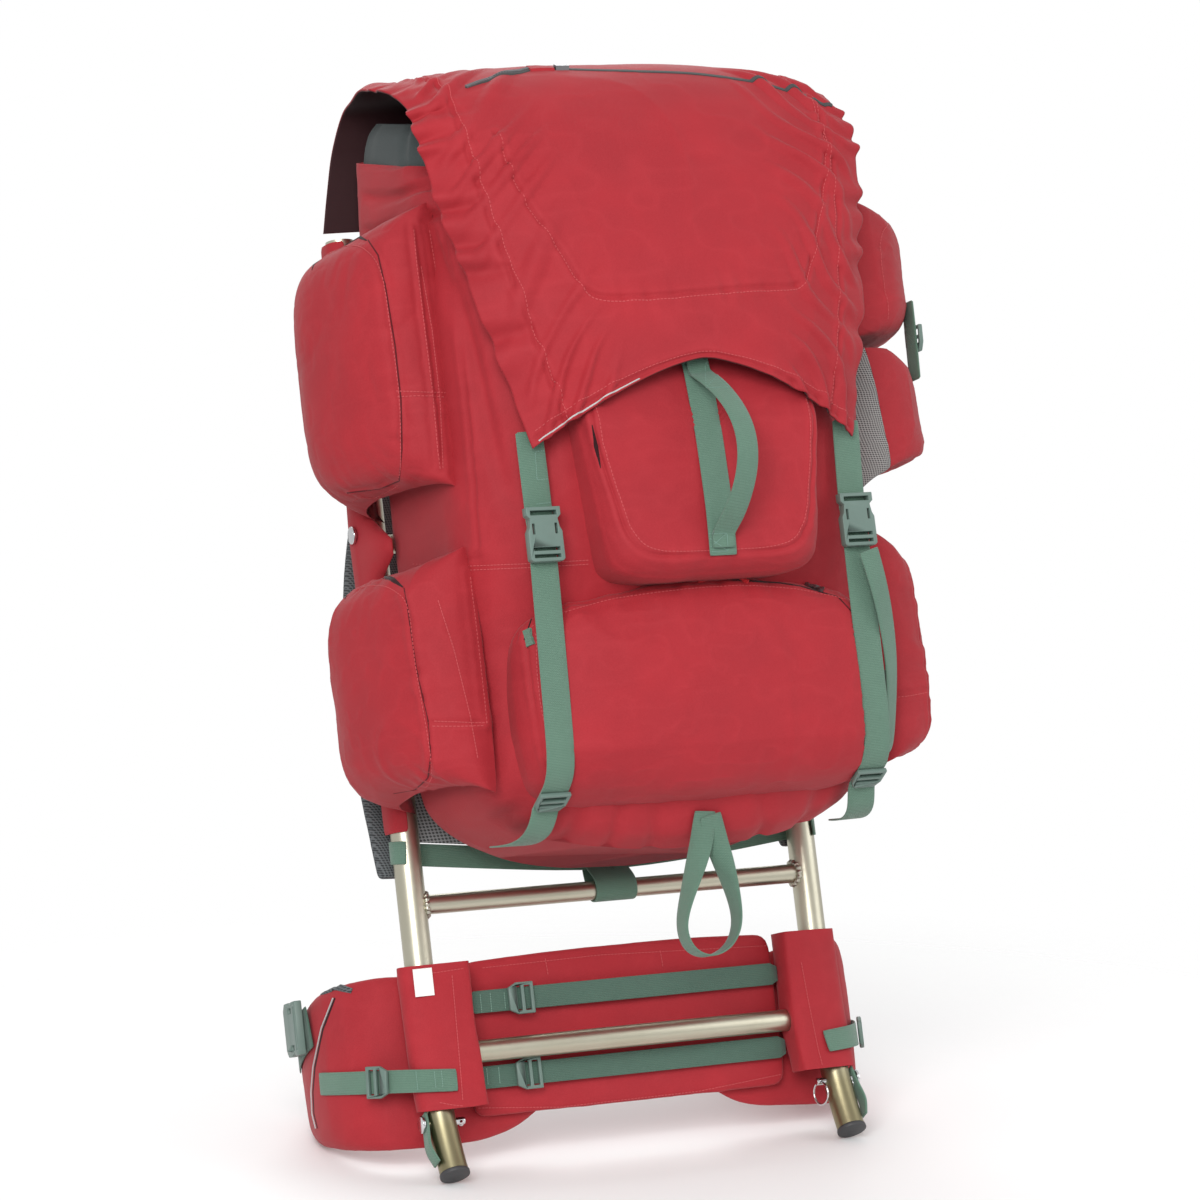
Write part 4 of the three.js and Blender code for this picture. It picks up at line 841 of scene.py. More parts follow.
DRAG_DEPTH, DRAG_SWING = 4.2, 1.8
KNOT_HEIGHT = 9


def drag_folds(at, s):
    side = np.abs(s)
    zone = smooth_step(side, 0.42, 0.66) * (1 - smooth_step(side, 0.86, 0.98)) * smooth_step(at, 4.6, 6.4)
    phase = at * 1.15 - side * 5.2 + 0.35 * np.sin(at * 1.7 + 5 * s)
    ridge = np.maximum(0, np.sin(2 * np.pi * phase)) ** 1.6
    knot = np.exp(-((at - 4.3) / 0.5) ** 2 - ((s + 0.93) / 0.09) ** 2)
    return zone * ridge * (DRAG_DEPTH + DRAG_SWING * np.sin(at * 2.9)) + KNOT_HEIGHT * knot


def lid_route(pairs, count=60):
    at, s = rounded([(a, b, 0) for a, b in pairs], count)[:, :2].T
    return lid_points(at, s)


LID_PANEL = [(8.6, -0.70), (9.8, -0.68), (11.0, -0.60), (11.9, -0.52), (12.05, -0.30), (12.0, 0.0),
             (11.9, 0.30), (11.8, 0.56), (11.3, 0.64), (10.6, 0.70), (9.4, 0.78), (8.2, 0.82), (7.3, 0.84)]
LID_CHANNELS = [[(a, side * 0.83) for a in np.linspace(4.6, 13.9, 12)] for side in (-1, 1)]
LID_HEM = [(13.86, s) for s in np.linspace(-0.97, 0.97, 15)]

lid, u, v = grid(230, 300)
at = v * LID_LAST
s = 2 * u - 1
set_coordinates(lid.data, place(lid_points(at, s)))
spots = upright(coordinates(lid.data))
lid_normals = normals(lid.data)
if lid_normals[np.argmax(spots[:, 2])][2] < 0:
    only(lid)
    bpy.ops.object.mode_set(mode="EDIT")
    bpy.ops.mesh.select_all(action="SELECT")
    bpy.ops.mesh.flip_normals()
    bpy.ops.object.mode_set(mode="OBJECT")
folded = coordinates(lid.data) + normals(lid.data) * drag_folds(at, s)[:, None] / 1000
set_coordinates(lid.data, folded)
lid_seams = [(lid_route(LID_PANEL), 1.4)] + [(lid_route(rail), 1.5) for rail in LID_CHANNELS]
lid_seams.append((lid_route(LID_HEM), 0.8))
front_share = smooth_step(at, 3.5, 7.5)
crumple(lid, lid_seams, 0.9, 74.0, 1.3, hold=0.4 + 0.6 * front_share)
lid_outer = len(lid.data.vertices)
apply(lid, "SOLIDIFY", thickness=0.002, offset=-1)
# painted shade on the lid's underside
shade_inner_shell(lid, lid_outer)
bpy.ops.object.shade_smooth()
finish_piece(lid, "lid_cloth", red_cloth, ["lid_flap"])
lid_tree = surface_of([lid])
TOWARDS_BACK = (0, 1, -0.25)
DOWNWARDS = (0, 0.35, -1)
for name, rows in (("lid_panel_stitches", [[(a + 0.12, b) for a, b in LID_PANEL]]),
                   ("lid_channel_stitches", [[(a, b * 0.985) for a, b in rail] for rail in LID_CHANNELS]),
                   ("lid_hem_stitches", [[(a - 0.1, b) for a, b in LID_HEM]])):
    stitches(name, [lid_route(row, 120) for row in rows], lid_tree, TOWARDS_BACK)

# %% [markdown]
# The side pockets are puffed cloth boxes sewn round their edges to the bag. One section, out from the
# pack's middle and back, is narrowed towards the top and bottom of each pocket.

# %% The side pockets
POCKET_SECTION = np.array([
    # out, y
    [184, -199],
    [208, -203],
    [234, -192],
    [252, -162],
    [265, -118],
    [270, -78],
    [260, -42],
    [236, -24],
    [200, -22],
], float)
SEAM_OUT = 184
POCKET_MIDDLE_Y = -108
OUTER_DROP = 0.12


def pocket_points(u, v, side, bottom, top, reach, lift):
    at = u * (len(POCKET_SECTION) - 1)
    out0, y0 = catmull(POCKET_SECTION[:, 0], at), catmull(POCKET_SECTION[:, 1], at)
    t = -np.cos(np.pi * v) * 0.985
    k = (1 - np.abs(t) ** 5) ** (1 / 2.2)
    z = (top + bottom) / 2 + (top - bottom) / 2 * t
    beyond = np.maximum(0, out0 - SEAM_OUT) * reach
    out = np.minimum(out0, SEAM_OUT) + beyond * (0.12 + 0.88 * k)
    y = POCKET_MIDDLE_Y + (y0 - POCKET_MIDDLE_Y) * (0.9 + 0.1 * k)
    drop = np.where(t > 0, beyond * OUTER_DROP * t * t, beyond * -lift * t * t)
    return np.column_stack([side * out, y, z - drop])


SIDE_POCKETS = [
    # name, side, bottom, top, reach, lift
    ("upper_pocket_left", -1, 570, 824, 1.0, 0.15),
    ("lower_pocket_left", -1, 312, 526, 1.0, 0.15),
    ("lower_pocket_right", 1, 312, 526, 1.0, 0.15),
    ("upper_pocket_right", 1, 688, 828, 1.42, 0.06),
]


def closed_pocket(name, form, seams, shift):
    pocket, u, v = grid(150, 130)
    set_coordinates(pocket.data, place(pocket_points(u, v, *form)))
    shape = bmesh.new()
    shape.from_mesh(pocket.data)
    bmesh.ops.holes_fill(shape, edges=[edge for edge in shape.edges if edge.is_boundary])
    shape.to_mesh(pocket.data)
    shape.free()
    face_out(pocket)
    reach_out = np.abs(upright(coordinates(pocket.data))[:, 0])
    crumple(pocket, seams, 1.5, 46.0, shift, hold=smooth_step(reach_out, 190, 225))
    bpy.ops.object.shade_smooth()
    finish_piece(pocket, f"{name}_cloth", red_cloth, [name])
    return pocket


UPPER_LEFT_SEAMS = [
    (rounded([(-224, -60, 806), (-232, -120, 802), (-238, -170, 790), (-234, -190, 765), (-232, -192, 711),
              (-231, -192, 664), (-233, -188, 618), (-226, -159, 592), (-233, -119, 590),
              (-244, -81, 593)]), 1.6),
    (rounded([(-192, -203, 800), (-190, -204, 740), (-189, -204, 660), (-190, -203, 585)]), 1.2),
    (rounded([(-206, -203, 800), (-206, -203, 740), (-205, -203, 660), (-206, -202, 590)]), 1.0),
    (rounded([(-233, -191, 658), (-215, -200, 656), (-190, -203, 654)]), 1.0),
]
LOWER_LEFT_SEAMS = [
    (rounded([(-236, -60, 512), (-244, -120, 508), (-246, -165, 498), (-240, -182, 478), (-240, -184, 425),
              (-237, -187, 357), (-232, -170, 335), (-226, -118, 329)]), 1.6),
    (rounded([(-234, -191, 377), (-212, -201, 374), (-190, -203, 373)]), 1.0),
    (rounded([(-190, -203, 500), (-190, -204, 440), (-190, -204, 374)]), 1.2),
]


def across(seams):
    return [(route * [-1, 1, 1], pucker) for route, pucker in seams]


UPPER_RIGHT_SEAMS = [
    (rounded([(236, -60, 812), (250, -120, 808), (246, -175, 798), (238, -192, 780), (236, -192, 740),
              (238, -186, 712)]), 1.6),
]
pockets = {}
for (name, *form), seams, shift in zip(
        SIDE_POCKETS, (UPPER_LEFT_SEAMS, LOWER_LEFT_SEAMS, across(LOWER_LEFT_SEAMS), UPPER_RIGHT_SEAMS),
        (0.3, 11.7, 23.9, 31.1)):
    pockets[name] = closed_pocket(name, form, seams, shift)

for name, seams, inward in (("upper_pocket_left", UPPER_LEFT_SEAMS, 0.55),
                            ("lower_pocket_left", LOWER_LEFT_SEAMS, 0.55),
                            ("lower_pocket_right", across(LOWER_LEFT_SEAMS), -0.55),
                            ("upper_pocket_right", UPPER_RIGHT_SEAMS, -0.55)):
    rows = [route + [0, 0, -3.5] for route, _ in seams]
    stitches(f"{name}_stitches", rows, surface_of([pockets[name]]), (inward, 1, 0))

# %% [markdown]
# Under the right upper pocket hangs an open pocket for a bottle. Its inner corner is a net, and the rest is
# pack cloth. Both come from the pocket form, cut flat at the mouth and along one slanted seam.

# %% The bottle pocket
BOTTLE = {"side": 1, "bottom": 546, "top": 700, "reach": 1.42, "lift": 0.45}
MOUTH = 682
SEAM_SPOT = (212, -203, 680)
MESH_SIDE = (-1, -0.55, -0.133)


def bottle_half(name, material, kept):
    half, u, v = grid(150, 110)
    set_coordinates(half.data, place(pocket_points(u, v, **BOTTLE)))
    face_out(half)
    shape = bmesh.new()
    shape.from_mesh(half.data)
    for spot, way in (((0, 0, MOUTH), (0, 0, 1)), (SEAM_SPOT, np.array(MESH_SIDE) * -kept)):
        bmesh.ops.bisect_plane(shape, geom=shape.verts[:] + shape.edges[:] + shape.faces[:],
                               plane_co=place(spot)[0], plane_no=turn(way)[0], clear_outer=True)
    shape.to_mesh(half.data)
    shape.free()
    crumple(half, (), 1.2, 34.0, 2.0)
    apply(half, "SOLIDIFY", thickness=0.0015, offset=-1)
    bpy.ops.object.shade_smooth()
    finish_piece(half, f"{name}_cloth", material, [name])


bottle_half("bottle_pocket", red_cloth, -1)
bottle_half("bottle_mesh", bottle_net, 1)

# %% [markdown]
# The flat stash pocket and the bulging lower compartment are cushions of cloth on the bag's face. Each is
# an outline that shrinks in a few rings as it comes forward, which gives a crowned front and tight edges.

# %% The stash pocket and the lower compartment
STASH_OUTLINE = [(0, 474), (60, 475), (88, 482), (99, 502), (108, 560), (115, 620), (117, 680), (104, 700),
                 (0, 704)]
STASH_DEPTHS = [(-225, 1), (-272, 1), (-285.5, 0.97), (-295, 0.91), (-298.6, 0.8), (-300.2, 0.5),
                (-300.6, 0.0)]
LOWER_OUTLINE = [(0, 291), (70, 292), (130, 297), (157, 313), (166, 350), (167, 400), (162, 436),
                 (140, 458), (80, 474), (0, 482)]
LOWER_DEPTHS = [(-175, 1), (-214, 1), (-238, 0.955), (-253, 0.87), (-262, 0.7), (-266, 0.4), (-267, 0.0)]


def crowned(name, outline, depths, middle_z, slope_from, slope, seams, shift, depth, flat_at=None):
    piece, u, v = grid(220, 90)
    half = np.array(outline, float)
    full = np.vstack([half, (half[:-1] * [-1, 1])[::-1]])
    run = np.r_[0, np.cumsum(np.linalg.norm(np.diff(full, axis=0), axis=1))]
    key = np.arange(len(full))
    index = np.interp(u * run[-1], run, key)
    x0, z0 = catmull(full[:, 0], index), catmull(full[:, 1], index)
    table = np.array(depths, float)
    at = v * (len(table) - 1)
    y, scale = catmull(table[:, 0], at), np.clip(catmull(table[:, 1], at), 0, 1)
    z = middle_z + (z0 - middle_z) * scale
    past = np.maximum(0, z - slope_from) if slope > 0 else np.minimum(0, z - slope_from)
    set_coordinates(piece.data, place(np.column_stack([x0 * scale, y + past * slope, z])))
    face_out(piece)
    spots = upright(coordinates(piece.data))
    hold = smooth_step(-spots[:, 1], -depths[0][0] + 12, -depths[2][0])
    if flat_at is not None:
        hold *= smooth_step(np.abs(spots[:, 0] - flat_at), 16, 34)
    crumple(piece, seams, depth, 48.0, shift, hold=hold)
    tuck(piece, ["handle_strip"] + BAND_NODES[:2], (0, 1, 0))
    bpy.ops.object.shade_smooth()
    finish_piece(piece, f"{name}_cloth", red_cloth, [name])
    return piece


STRIP_X = 2
STASH_SEAMS = [
    (rounded([(-103, -294, 620), (-101, -295, 584), (-92, -297, 541), (-83, -297, 508), (-62, -297, 492),
              (-2, -300, 490), (59, -298, 492), (81, -298, 508), (92, -297, 541), (101, -295, 588),
              (103, -294, 620)]), 1.3),
]
COMPARTMENT_SEAMS = [
    (rounded([(-160, -222, 436), (-150, -232, 452), (-92, -248, 466), (-45, -252, 470), (9, -253, 472),
              (60, -252, 470), (100, -246, 464), (144, -232, 452), (160, -222, 436)]), 1.6),
    (rounded([(-157, -234, 440), (-160, -236, 390), (-154, -236, 320)]), 1.0),
    (rounded([(157, -234, 440), (160, -236, 390), (154, -236, 320)]), 1.0),
]
stash = crowned("front_pocket", STASH_OUTLINE, STASH_DEPTHS, 585, 606, 0.28, STASH_SEAMS, 6.6, 0.9, STRIP_X)
compartment = crowned("lower_compartment", LOWER_OUTLINE, LOWER_DEPTHS, 385, 335, -0.3,
                      COMPARTMENT_SEAMS, 14.2, 1.9)
STASH_ROWS = [route * [0.96, 1, 1] + [0, 0, 3] for route, _ in STASH_SEAMS]
COMPARTMENT_ROWS = [COMPARTMENT_SEAMS[0][0] + [0, 0, -4]]
COMPARTMENT_ROWS += [route * [0.975, 1, 1] for route, _ in COMPARTMENT_SEAMS[1:]]
stitches("stash_stitches", STASH_ROWS, surface_of([stash]), (0, 1, 0))
stitches("compartment_stitches", COMPARTMENT_ROWS, surface_of([compartment]), (0, 1, 0))

# %% [markdown]
# The other pieces keep the shapes of their solids, and only need finer faces. A copy of each solid is
# merged, its triangles are paired into quads, and a subdivision surface rounds it along its length while
# creases keep its cut edges crisp.


# %% Refining a solid
def refined(node, material, levels=2, sharp=50.0, crease=0.9, bevel=0.0):
    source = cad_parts[node]
    bpy.ops.object.select_all(action="DESELECT")
    piece = bpy.data.objects.new(f"{node}_piece", source.data.copy())
    bpy.context.collection.objects.link(piece)
    only(piece)
    bpy.ops.object.mode_set(mode="EDIT")
    bpy.ops.mesh.select_all(action="SELECT")
    bpy.ops.mesh.remove_doubles(threshold=0.00005)
    bpy.ops.mesh.tris_convert_to_quads(face_threshold=math.radians(30), shape_threshold=math.radians(60))
    bpy.ops.object.mode_set(mode="OBJECT")
    if bevel > 0:
        apply(piece, "BEVEL", width=bevel / 1000, segments=2, limit_method="ANGLE",
              angle_limit=math.radians(sharp))
    if levels > 0:
        shape = bmesh.new()
        shape.from_mesh(piece.data)
        layer = shape.edges.layers.float.new("crease_edge")
        for edge in shape.edges:
            if len(edge.link_faces) == 2 and edge.calc_face_angle(0) > math.radians(sharp):
                edge[layer] = crease
        shape.to_mesh(piece.data)
        shape.free()
        apply(piece, "SUBSURF", levels=levels, render_levels=levels)
    only(piece)
    bpy.ops.object.shade_smooth_by_angle(angle=math.radians(40))
    return finish_piece(piece, f"{node}_piece", material, [node])


for word in ("left", "right"):
    for node in (f"lid_strap_{word}", f"bag_strap_{word}", f"wing_strap_{word}", f"foot_tab_{word}"):
        refined(node, green_webbing)
    refined(f"belt_strap_{word}", belt_webbing)
for node in ("strap_loop_right", "bottle_strap", "haul_loop", "band_webbing", "centre_tab", "handle_strip",
             "grab_handle"):
    refined(node, green_webbing)
for node in ("lumbar_strap_upper", "lumbar_strap_lower"):
    refined(node, belt_webbing, levels=1)

# %% Buckles and ladder locks
LOCKS = ["bag_lock_left", "bag_lock_right", "wing_lock_left", "wing_lock_right", "bottle_lock",
         "lumbar_lock_upper", "lumbar_lock_lower", "strap_buckle_left", "strap_buckle_right",
         "belt_buckle_left", "belt_buckle_right"]
for node in LOCKS:
    refined(node, buckle_plastic, levels=0, sharp=40, bevel=0.9)

# %% Pins, rings and caps
for node in ("foot_pin_left", "foot_pin_right", "bag_pin_left", "bag_pin_right"):
    refined(node, chrome_metal, levels=0, sharp=40, bevel=0.6)
refined("split_ring_right", chrome_metal, levels=2, sharp=120)
for word in ("left", "right"):
    refined(f"foot_cap_{word}", cap_plastic_and_hole_shade, levels=0, sharp=40, bevel=0.7)


# %% [markdown]
# The frame is tube: two rails that bend forward at the foot and four crossbars welded between them. Each
# tube is swept as a curve with a round section and turned into a mesh.

# %% The frame
RAIL_X, RAIL_R = 193, 12.7
BEND_TOP, BEND_RADIUS, BEND = 145, 340, math.radians(24.2)


def rail_y(z):
    if z >= BEND_TOP:
        return 0.0
    return -BEND_RADIUS * (1 - math.cos(math.asin((BEND_TOP - z) / BEND_RADIUS)))


def tube(name, route, radius):
    curve = bpy.data.curves.new(name, "CURVE")
    curve.dimensions = "3D"
    curve.bevel_depth = radius / 1000
    curve.bevel_resolution = 8
    curve.use_fill_caps = True
    spline = curve.splines.new("POLY")
    spots = place(route)
    spline.points.add(len(spots) - 1)
    for point, spot in zip(spline.points, spots):
        point.co = (*spot, 1)
    piece = bpy.data.objects.new(name, curve)
    bpy.context.collection.objects.link(piece)
    only(piece)
    bpy.ops.object.convert(target="MESH")
    face_out(piece)
    bpy.ops.object.shade_smooth_by_angle(angle=math.radians(40))
    return finish_piece(piece, name, tube_metal)


for word, side in (("left", -1), ("right", 1)):
    route = [(side * RAIL_X, 0, 835), (side * RAIL_X, 0, 500), (side * RAIL_X, 0, 200)]
    for k in range(25):
        angle = BEND * k / 24
        route.append((side * RAIL_X, -BEND_RADIUS * (1 - math.cos(angle)),
                      BEND_TOP - BEND_RADIUS * math.sin(angle)))
    tube(f"rail_{word}", route, RAIL_R)
for name, z, radius, bow in (("crossbar_waist", 239, 8.6, 0), ("crossbar_low", 107, 9.8, -16),
                             ("crossbar_middle", 560, 8.6, 0), ("crossbar_top", 770, 8.6, 0)):
    t = np.linspace(-1, 1, 41)
    route = np.column_stack([t * (RAIL_X - 4), rail_y(z) + bow * (1 - t * t), np.full(41, z)])
    tube(name, route, radius)
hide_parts("frame")

# %% [markdown]
# Where a crossbar meets a rail there is a rippled weld bead, the coins of one pass laid round the joint.

# %% Weld beads
WELD_Z = 239
BEAD_SET, BEAD_SADDLE = 12.9, 2.7
COINS = 16

for word, side in (("left", -1), ("right", 1)):
    bpy.ops.object.select_all(action="DESELECT")
    bpy.ops.mesh.primitive_torus_add(major_radius=0.0098, minor_radius=0.0024, major_segments=72,
                                     minor_segments=12)
    bead = bpy.context.object
    ring = coordinates(bead.data) * 1000
    angle = np.arctan2(ring[:, 1], ring[:, 0])
    swell = 1 + 0.16 * np.cos(angle * COINS)
    ring[:, 2] *= swell
    saddle = side * (RAIL_X - BEAD_SET + BEAD_SADDLE * np.cos(angle) ** 2)
    spots = np.column_stack([saddle + ring[:, 2], ring[:, 0] * swell**0.3, WELD_Z + ring[:, 1] * swell**0.3])
    set_coordinates(bead.data, place(spots))
    face_out(bead)
    bpy.ops.object.shade_smooth()
    finish_piece(bead, f"weld_bead_{word}", weld_metal)

# %% [markdown]
# The belt is padded: two wings of foam in red cloth that curve forward round the hips, a flat pad behind
# the waist, and red sleeves that wrap the rails. The shoulder straps are foam faced with grey mesh.


# %% The belt and the shoulder straps
EAR_REACH = 42
EAR_LOW, EAR_HIGH = (522, 536), (560, 576)


def padded_piece(node, material, depth, scale, shift, under=()):
    piece = refined(node, material, levels=3, sharp=70, crease=0.35)
    crumple(piece, (), depth, scale, shift)
    tuck(piece, under, (0, 1, 0), ahead=0.03)


for k, word in enumerate(("left", "right")):
    padded_piece(f"belt_wing_{word}", red_cloth, 0.8, 46.0, 3.0 + k, [f"wing_strap_{word}"])
    padded_piece(f"shoulder_strap_{word}", grey_mesh, 0.5, 40.0, 5.0 + k)
padded_piece("lumbar_panel", red_cloth, 0.7, 50.0, 9.0,
             ["lumbar_strap_upper", "lumbar_strap_lower"])
for k, word in enumerate(("left", "right")):
    sleeve = refined(f"rail_sleeve_{word}", red_cloth, levels=3, sharp=60, crease=0.7)
    crumple(sleeve, (), 0.6, 40.0, 12.0 + k)
    flange = refined(f"side_flange_{word}", red_cloth, levels=3, sharp=60, crease=0.7)
    crumple(flange, (), 0.5, 40.0, 16.0 + k)
    x, y, z = upright(coordinates(flange.data)).T
    between_pockets = smooth_step(z, *EAR_LOW) * (1 - smooth_step(z, *EAR_HIGH))
    reach = EAR_REACH * between_pockets * (1 - smooth_step(y, -16, -4))
    set_coordinates(flange.data, place(np.column_stack([x, y - reach, z])))
band = refined("back_band", back_mesh, levels=2, sharp=60)
refined("blank_label", label_cloth, levels=0)

# %% [markdown]
# The small things are laid from the photograph. Their spots are given as the camera sees them, in
# steps of 1/1200 of the picture's width from its top left corner, and a ray finds the surface under each.


# %% Studs and holes
def on(*names):
    return surface_of([bpy.data.objects[name] for name in names])


def stud(name, point, trees, radius, material, high=0.5, out=0.0):
    hit = sighted(trees, point)
    if hit is None:
        print("no stud landed for", name)
        return
    bpy.ops.object.select_all(action="DESELECT")
    bpy.ops.mesh.primitive_uv_sphere_add(segments=28, ring_count=14, radius=1)
    piece = bpy.context.object
    facing = np.array(hit[1].to_track_quat("Z", "Y").to_matrix())
    ball = coordinates(piece.data) * np.array([radius, radius, radius * high]) / 1000
    set_coordinates(piece.data, ball @ facing.T + np.array(hit[0] + hit[1] * out / 1000))
    bpy.ops.object.shade_smooth()
    finish_piece(piece, name, material)


# %% Zips of the compartment and the lid
COMPARTMENT_ZIP = [(524, 640), (533, 615), (547, 604), (575, 596), (600, 591), (660, 583), (720, 579),
                   (780, 583), (800, 586), (838, 597), (852, 612)]
face = on("lower_compartment_cloth")
# painted shade in the open zip slot
strip("compartment_zip_slot_shade", COMPARTMENT_ZIP, face, "camera", [1, 3.2, 3.2, 3.2, 1], gap_shade_cloth, lift=0.3)
for k, route in enumerate(([(598, 595), (615, 592)], [(806, 586), (824, 591)])):
    strip(f"compartment_slider_{k}", route, face, "camera", [6, 6], zip_metal, lift=2.6)
for k, route in enumerate(([(698, 582), (712, 578), (721, 575)], [(727, 575), (737, 578), (748, 583)])):
    strip(f"compartment_pull_{k}", route, face, "camera", [2.5, 4, 3], pull_cord, lift=2.6, step=1.5)

LID_ZIP_WIDE = [(-152, -223, 912), (-137, -220, 918), (-111, -217, 925), (-81, -204, 935), (-60, -207, 935)]
LID_ZIP_THIN = [(-60, -207, 935), (17, -219, 929), (71, -224, 924), (145, -229, 908), (196, -226, 888)]
strip("lid_zip_wide_tape", LID_ZIP_WIDE, lid_tree, DOWNWARDS, [2, 9, 11, 11], grey_lining,
      lift=1.0)
stitches("lid_zip_wide_teeth", [LID_ZIP_WIDE], lid_tree, DOWNWARDS, zip_tape, pitch=2.6,
         length=1.5, width=3.6, low=0.4, high=2.0)
strip("lid_zip_thin_tape", LID_ZIP_THIN, lid_tree, DOWNWARDS, [6, 5, 4], grey_lining,
      lift=0.9)
strip("lid_zip_tab", [(-84, -206, 934), (-62, -208, 935)], lid_tree, DOWNWARDS, [13, 13], red_cloth,
      lift=2.4)
strip("lid_zip_slider", [(-60, -208, 935), (-47, -209, 935)], lid_tree, DOWNWARDS, [8, 8], zip_metal,
      lift=4.0)
BINDING_ROUTE = lid_route([(13.94, x) for x in np.linspace(-0.97, -0.4, 9)])
strip("lid_hem_binding", BINDING_ROUTE, lid_tree, TOWARDS_BACK, [1.4, 1.6, 1.2], binding,
      lift=0.4)

# %% Pocket zips
POCKET_ZIPS = {
    "upper_pocket_left": ([(312, 270), (317, 256), (326, 244), (340, 236), (355, 235), (368, 241)],
                          [(368, 240), (378, 255), (386, 290), (395, 345), (401, 400), (402, 450),
                           (399, 481), (380, 489), (347, 493)]),
    "lower_pocket_left": ([(345, 599), (350, 585), (362, 577), (378, 575), (392, 579), (404, 588)],
                          [(404, 588), (408, 610), (416, 667), (428, 720), (431, 755), (428, 778),
                           (415, 790), (392, 794)]),
}
POCKET_ROWS = {
    "upper_pocket_left": [[(421, 266), (432, 330), (440, 400), (443, 470)],
                          [(437, 264), (446, 330), (454, 400), (457, 470)],
                          [(396, 391), (455, 393)]],
    "lower_pocket_left": [[(438, 600), (454, 650), (470, 715), (478, 760)], [(434, 721), (486, 723)]],
}
for name, (mouth, seam) in POCKET_ZIPS.items():
    face = on(f"{name}_cloth")
    # painted shade in the open pocket mouth; the grey strip laid over it is the real lining
    strip(f"{name}_mouth", mouth, face, "camera", [1, 7, 9, 7, 1], gap_shade_cloth, lift=0.4)
    strip(f"{name}_lining", mouth[1:-1], face, "camera", [0.5, 3, 4, 0.5], grey_lining,
          lift=0.9)
    strip(f"{name}_seam_shadow", seam, face, "camera", [1.6, 1.6], seam_shade, lift=0.15)
    stitches(f"{name}_rows", POCKET_ROWS[name], face, "camera")

# %% Bag and stash details
bag_face = on("bag_body")
BAG_ROW = [(412, 564), (470, 566), (520, 564), (592, 560)]
ROW_GAP = 4
stitches("bag_rows", [[(x, y + down) for x, y in BAG_ROW] for down in (0, ROW_GAP)], bag_face, "camera")
# painted shade in the stash pocket's pleat
strip("stash_pleat_shade", [(592, 425), (596, 445), (601, 470)], on("front_pocket_cloth", "bag_body"), "camera",
      [0.8, 4, 0.8], gap_shade_cloth, lift=0.3)
strip("compartment_tab", [(527, 630), (531, 647)], on("lower_compartment_cloth", "bag_body"), "camera",
      [9, 9], green_webbing, lift=1.6)

# %% Webbing stitches
BOXES = [
    ("handle_top", ("handle_strip_piece", "grab_handle_piece"), [
        [(705, 363), (729, 362), (730, 387), (706, 388), (705, 363)], [(705, 363), (730, 387)],
        [(729, 362), (706, 388)]]),
    ("handle_foot", ("handle_strip_piece", "grab_handle_piece"), [
        [(704, 534), (727, 533), (728, 551), (705, 552), (704, 534)], [(704, 534), (728, 551)],
        [(727, 533), (705, 552)]]),
    ("lid_strap", ("lid_strap_left_piece",), [[(535, 452), (554, 449), (557, 478), (537, 480), (535, 452)],
                                              [(536, 504), (558, 502)]]),
    ("lumbar_upper", ("lumbar_strap_upper_piece",), [[(480, 994), (482, 1016)], [(490, 993), (492, 1016)],
                                                     [(504, 992), (506, 1015)]]),
    ("lumbar_lower", ("lumbar_strap_lower_piece",), [[(486, 1063), (488, 1085)],
                                                     [(498, 1062), (500, 1084)]]),
    ("wing_strap", ("wing_strap_left_piece",), [[(441, 1068), (443, 1088)], [(434, 1069), (436, 1089)],
                                                [(416, 1071), (418, 1091)]]),
]
for name, faces, routes in BOXES:
    stitches(f"{name}_stitches", routes, on(*faces), "camera", green_thread, pitch=2.4,
             length=1.6, width=0.6)

# %% Belt details
SLEEVE_ROWS = [[(452, 975), (456, 1020), (460, 1065), (463, 1103)], [(463, 1106), (452, 1105), (437, 1102)],
               [(801, 962), (808, 1000), (818, 1049), (826, 1080)], [(420, 975), (466, 968)]]
stitches("sleeve_rows", SLEEVE_ROWS, on("rail_sleeve_left_piece", "rail_sleeve_right_piece"), "camera")
PAD_ROWS = [[(478, 1108), (560, 1107), (700, 1091), (812, 1068)], [(482, 968), (600, 955), (780, 945)],
            [(545, 958), (548, 975)], [(660, 950), (663, 968)]]
stitches("pad_rows", PAD_ROWS, on("lumbar_panel_piece"), "camera")
PIPING = [(335, 998), (323, 1029), (315, 1067), (313, 1092), (314, 1114), (318, 1130)]
wing_face = on("belt_wing_left_piece")
strip("wing_piping_shadow", PIPING, wing_face, "camera", [2.6, 3.2, 2.2], gap_shade_cloth, lift=0.3)
strip("wing_piping", [(x - 1.6, y) for x, y in PIPING], wing_face, "camera", [0.9, 0.9], binding,
      lift=1.0)
strip("wing_top_mesh", [(322, 994), (338, 987), (352, 991)], wing_face, "camera", [4, 8, 5], grey_mesh,
      lift=0.8)

# %% Rivets and holes
stud("tab_rivet_left", (426, 1160), on("foot_tab_left_piece"), 4.2, chrome_metal, 0.35)
stud("tab_rivet_right", (869, 1112), on("foot_tab_right_piece"), 4.4, chrome_metal, 0.35)
stud("tab_stud_right", (852, 1083), on("foot_tab_right_piece"), 3.0, chrome_metal, 0.5)
stud("pin_end_left", (460, 1123), on("belt_wing_left_piece", "lumbar_panel_piece"), 3.0, chrome_metal,
     1.0, out=2.0)
# painted shade: a flat dark disc on each rail stands for the shade inside an open hole
stud("spare_hole_left_shade", (391, 876), on("rail_left"), 3.2, cap_plastic_and_hole_shade, 0.12)
stud("spare_hole_right_shade", (829, 1108), on("rail_right"), 3.2, cap_plastic_and_hole_shade, 0.12)

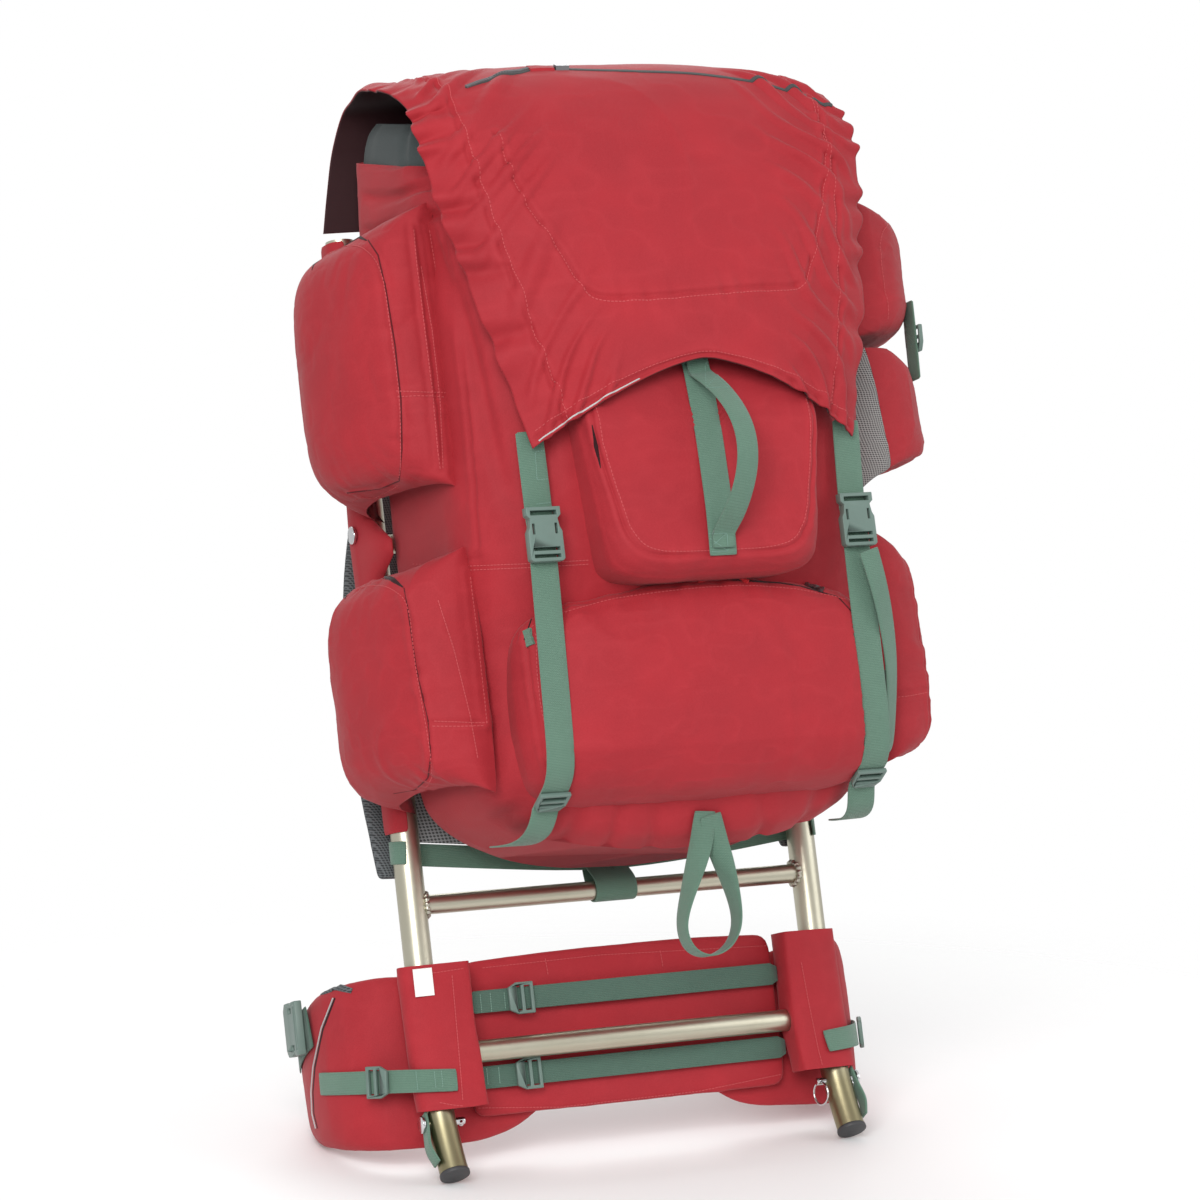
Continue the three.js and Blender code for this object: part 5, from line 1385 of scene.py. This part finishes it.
# %% [markdown]
# The pack stands on a plain pale floor under one large soft light from the front left, with two weaker
# ones to open the shadows.

# %% Floor and lights
FADE_FROM, FADE_TO = 0.45, 1.1
bpy.ops.object.select_all(action="DESELECT")
bpy.ops.mesh.primitive_plane_add(size=14, location=(0, 0, 0))
ground = bpy.context.object
ground.name = "studio_floor"
floor_finish = Finish("studio_floor", 0.6, specular=0.2)
floor_grain = floor_finish.noise(floor_finish.place(), 3.0, 2.0, 0.5)
floor_finish.feed("Base Color", floor_finish.mix(floor_grain, (0.9, 0.9, 0.9, 1), (0.94, 0.94, 0.94, 1)))
floor_x, floor_y, _ = floor_finish.parts(floor_finish.place())
floor_far = (floor_x * floor_x + floor_y * floor_y) ** 0.5
floor_fade = floor_finish.node("ShaderNodeMapRange", {}, floor_far, FADE_FROM, FADE_TO, 1.0, 0.0)
floor_finish.feed("Alpha", floor_fade)
ground.data.materials.append(floor_finish.material)


def lamp(name, location, size, power, aim=(0, 0, 0.45)):
    data = bpy.data.lights.new(name, "AREA")
    data.size = size
    data.energy = power
    light = bpy.data.objects.new(name, data)
    bpy.context.collection.objects.link(light)
    light.location = location
    light.rotation_euler = (Vector(location) - Vector(aim)).to_track_quat("Z", "Y").to_euler()


lamp("key_light", (-2.1, -3.1, 2.3), 2.0, 122)
lamp("fill_light", (2.8, -2.0, 1.6), 2.5, 26)
lamp("rim_light", (0.6, 2.8, 2.6), 2.2, 40)
world = bpy.data.worlds.new("studio")
bpy.context.scene.world = world
world.use_nodes = True
sky = world.node_tree.nodes["Background"]
sky.inputs["Color"].default_value = (1, 1, 1, 1)
seen_by = world.node_tree.nodes.new("ShaderNodeLightPath")
strength = world.node_tree.nodes.new("ShaderNodeMapRange")
strength.inputs["To Min"].default_value = 0.68
strength.inputs["To Max"].default_value = 1.0
world.node_tree.links.new(seen_by.outputs["Is Camera Ray"], strength.inputs["Value"])
world.node_tree.links.new(strength.outputs["Result"], sky.inputs["Strength"])
bpy.context.scene.view_settings.view_transform = "Standard"
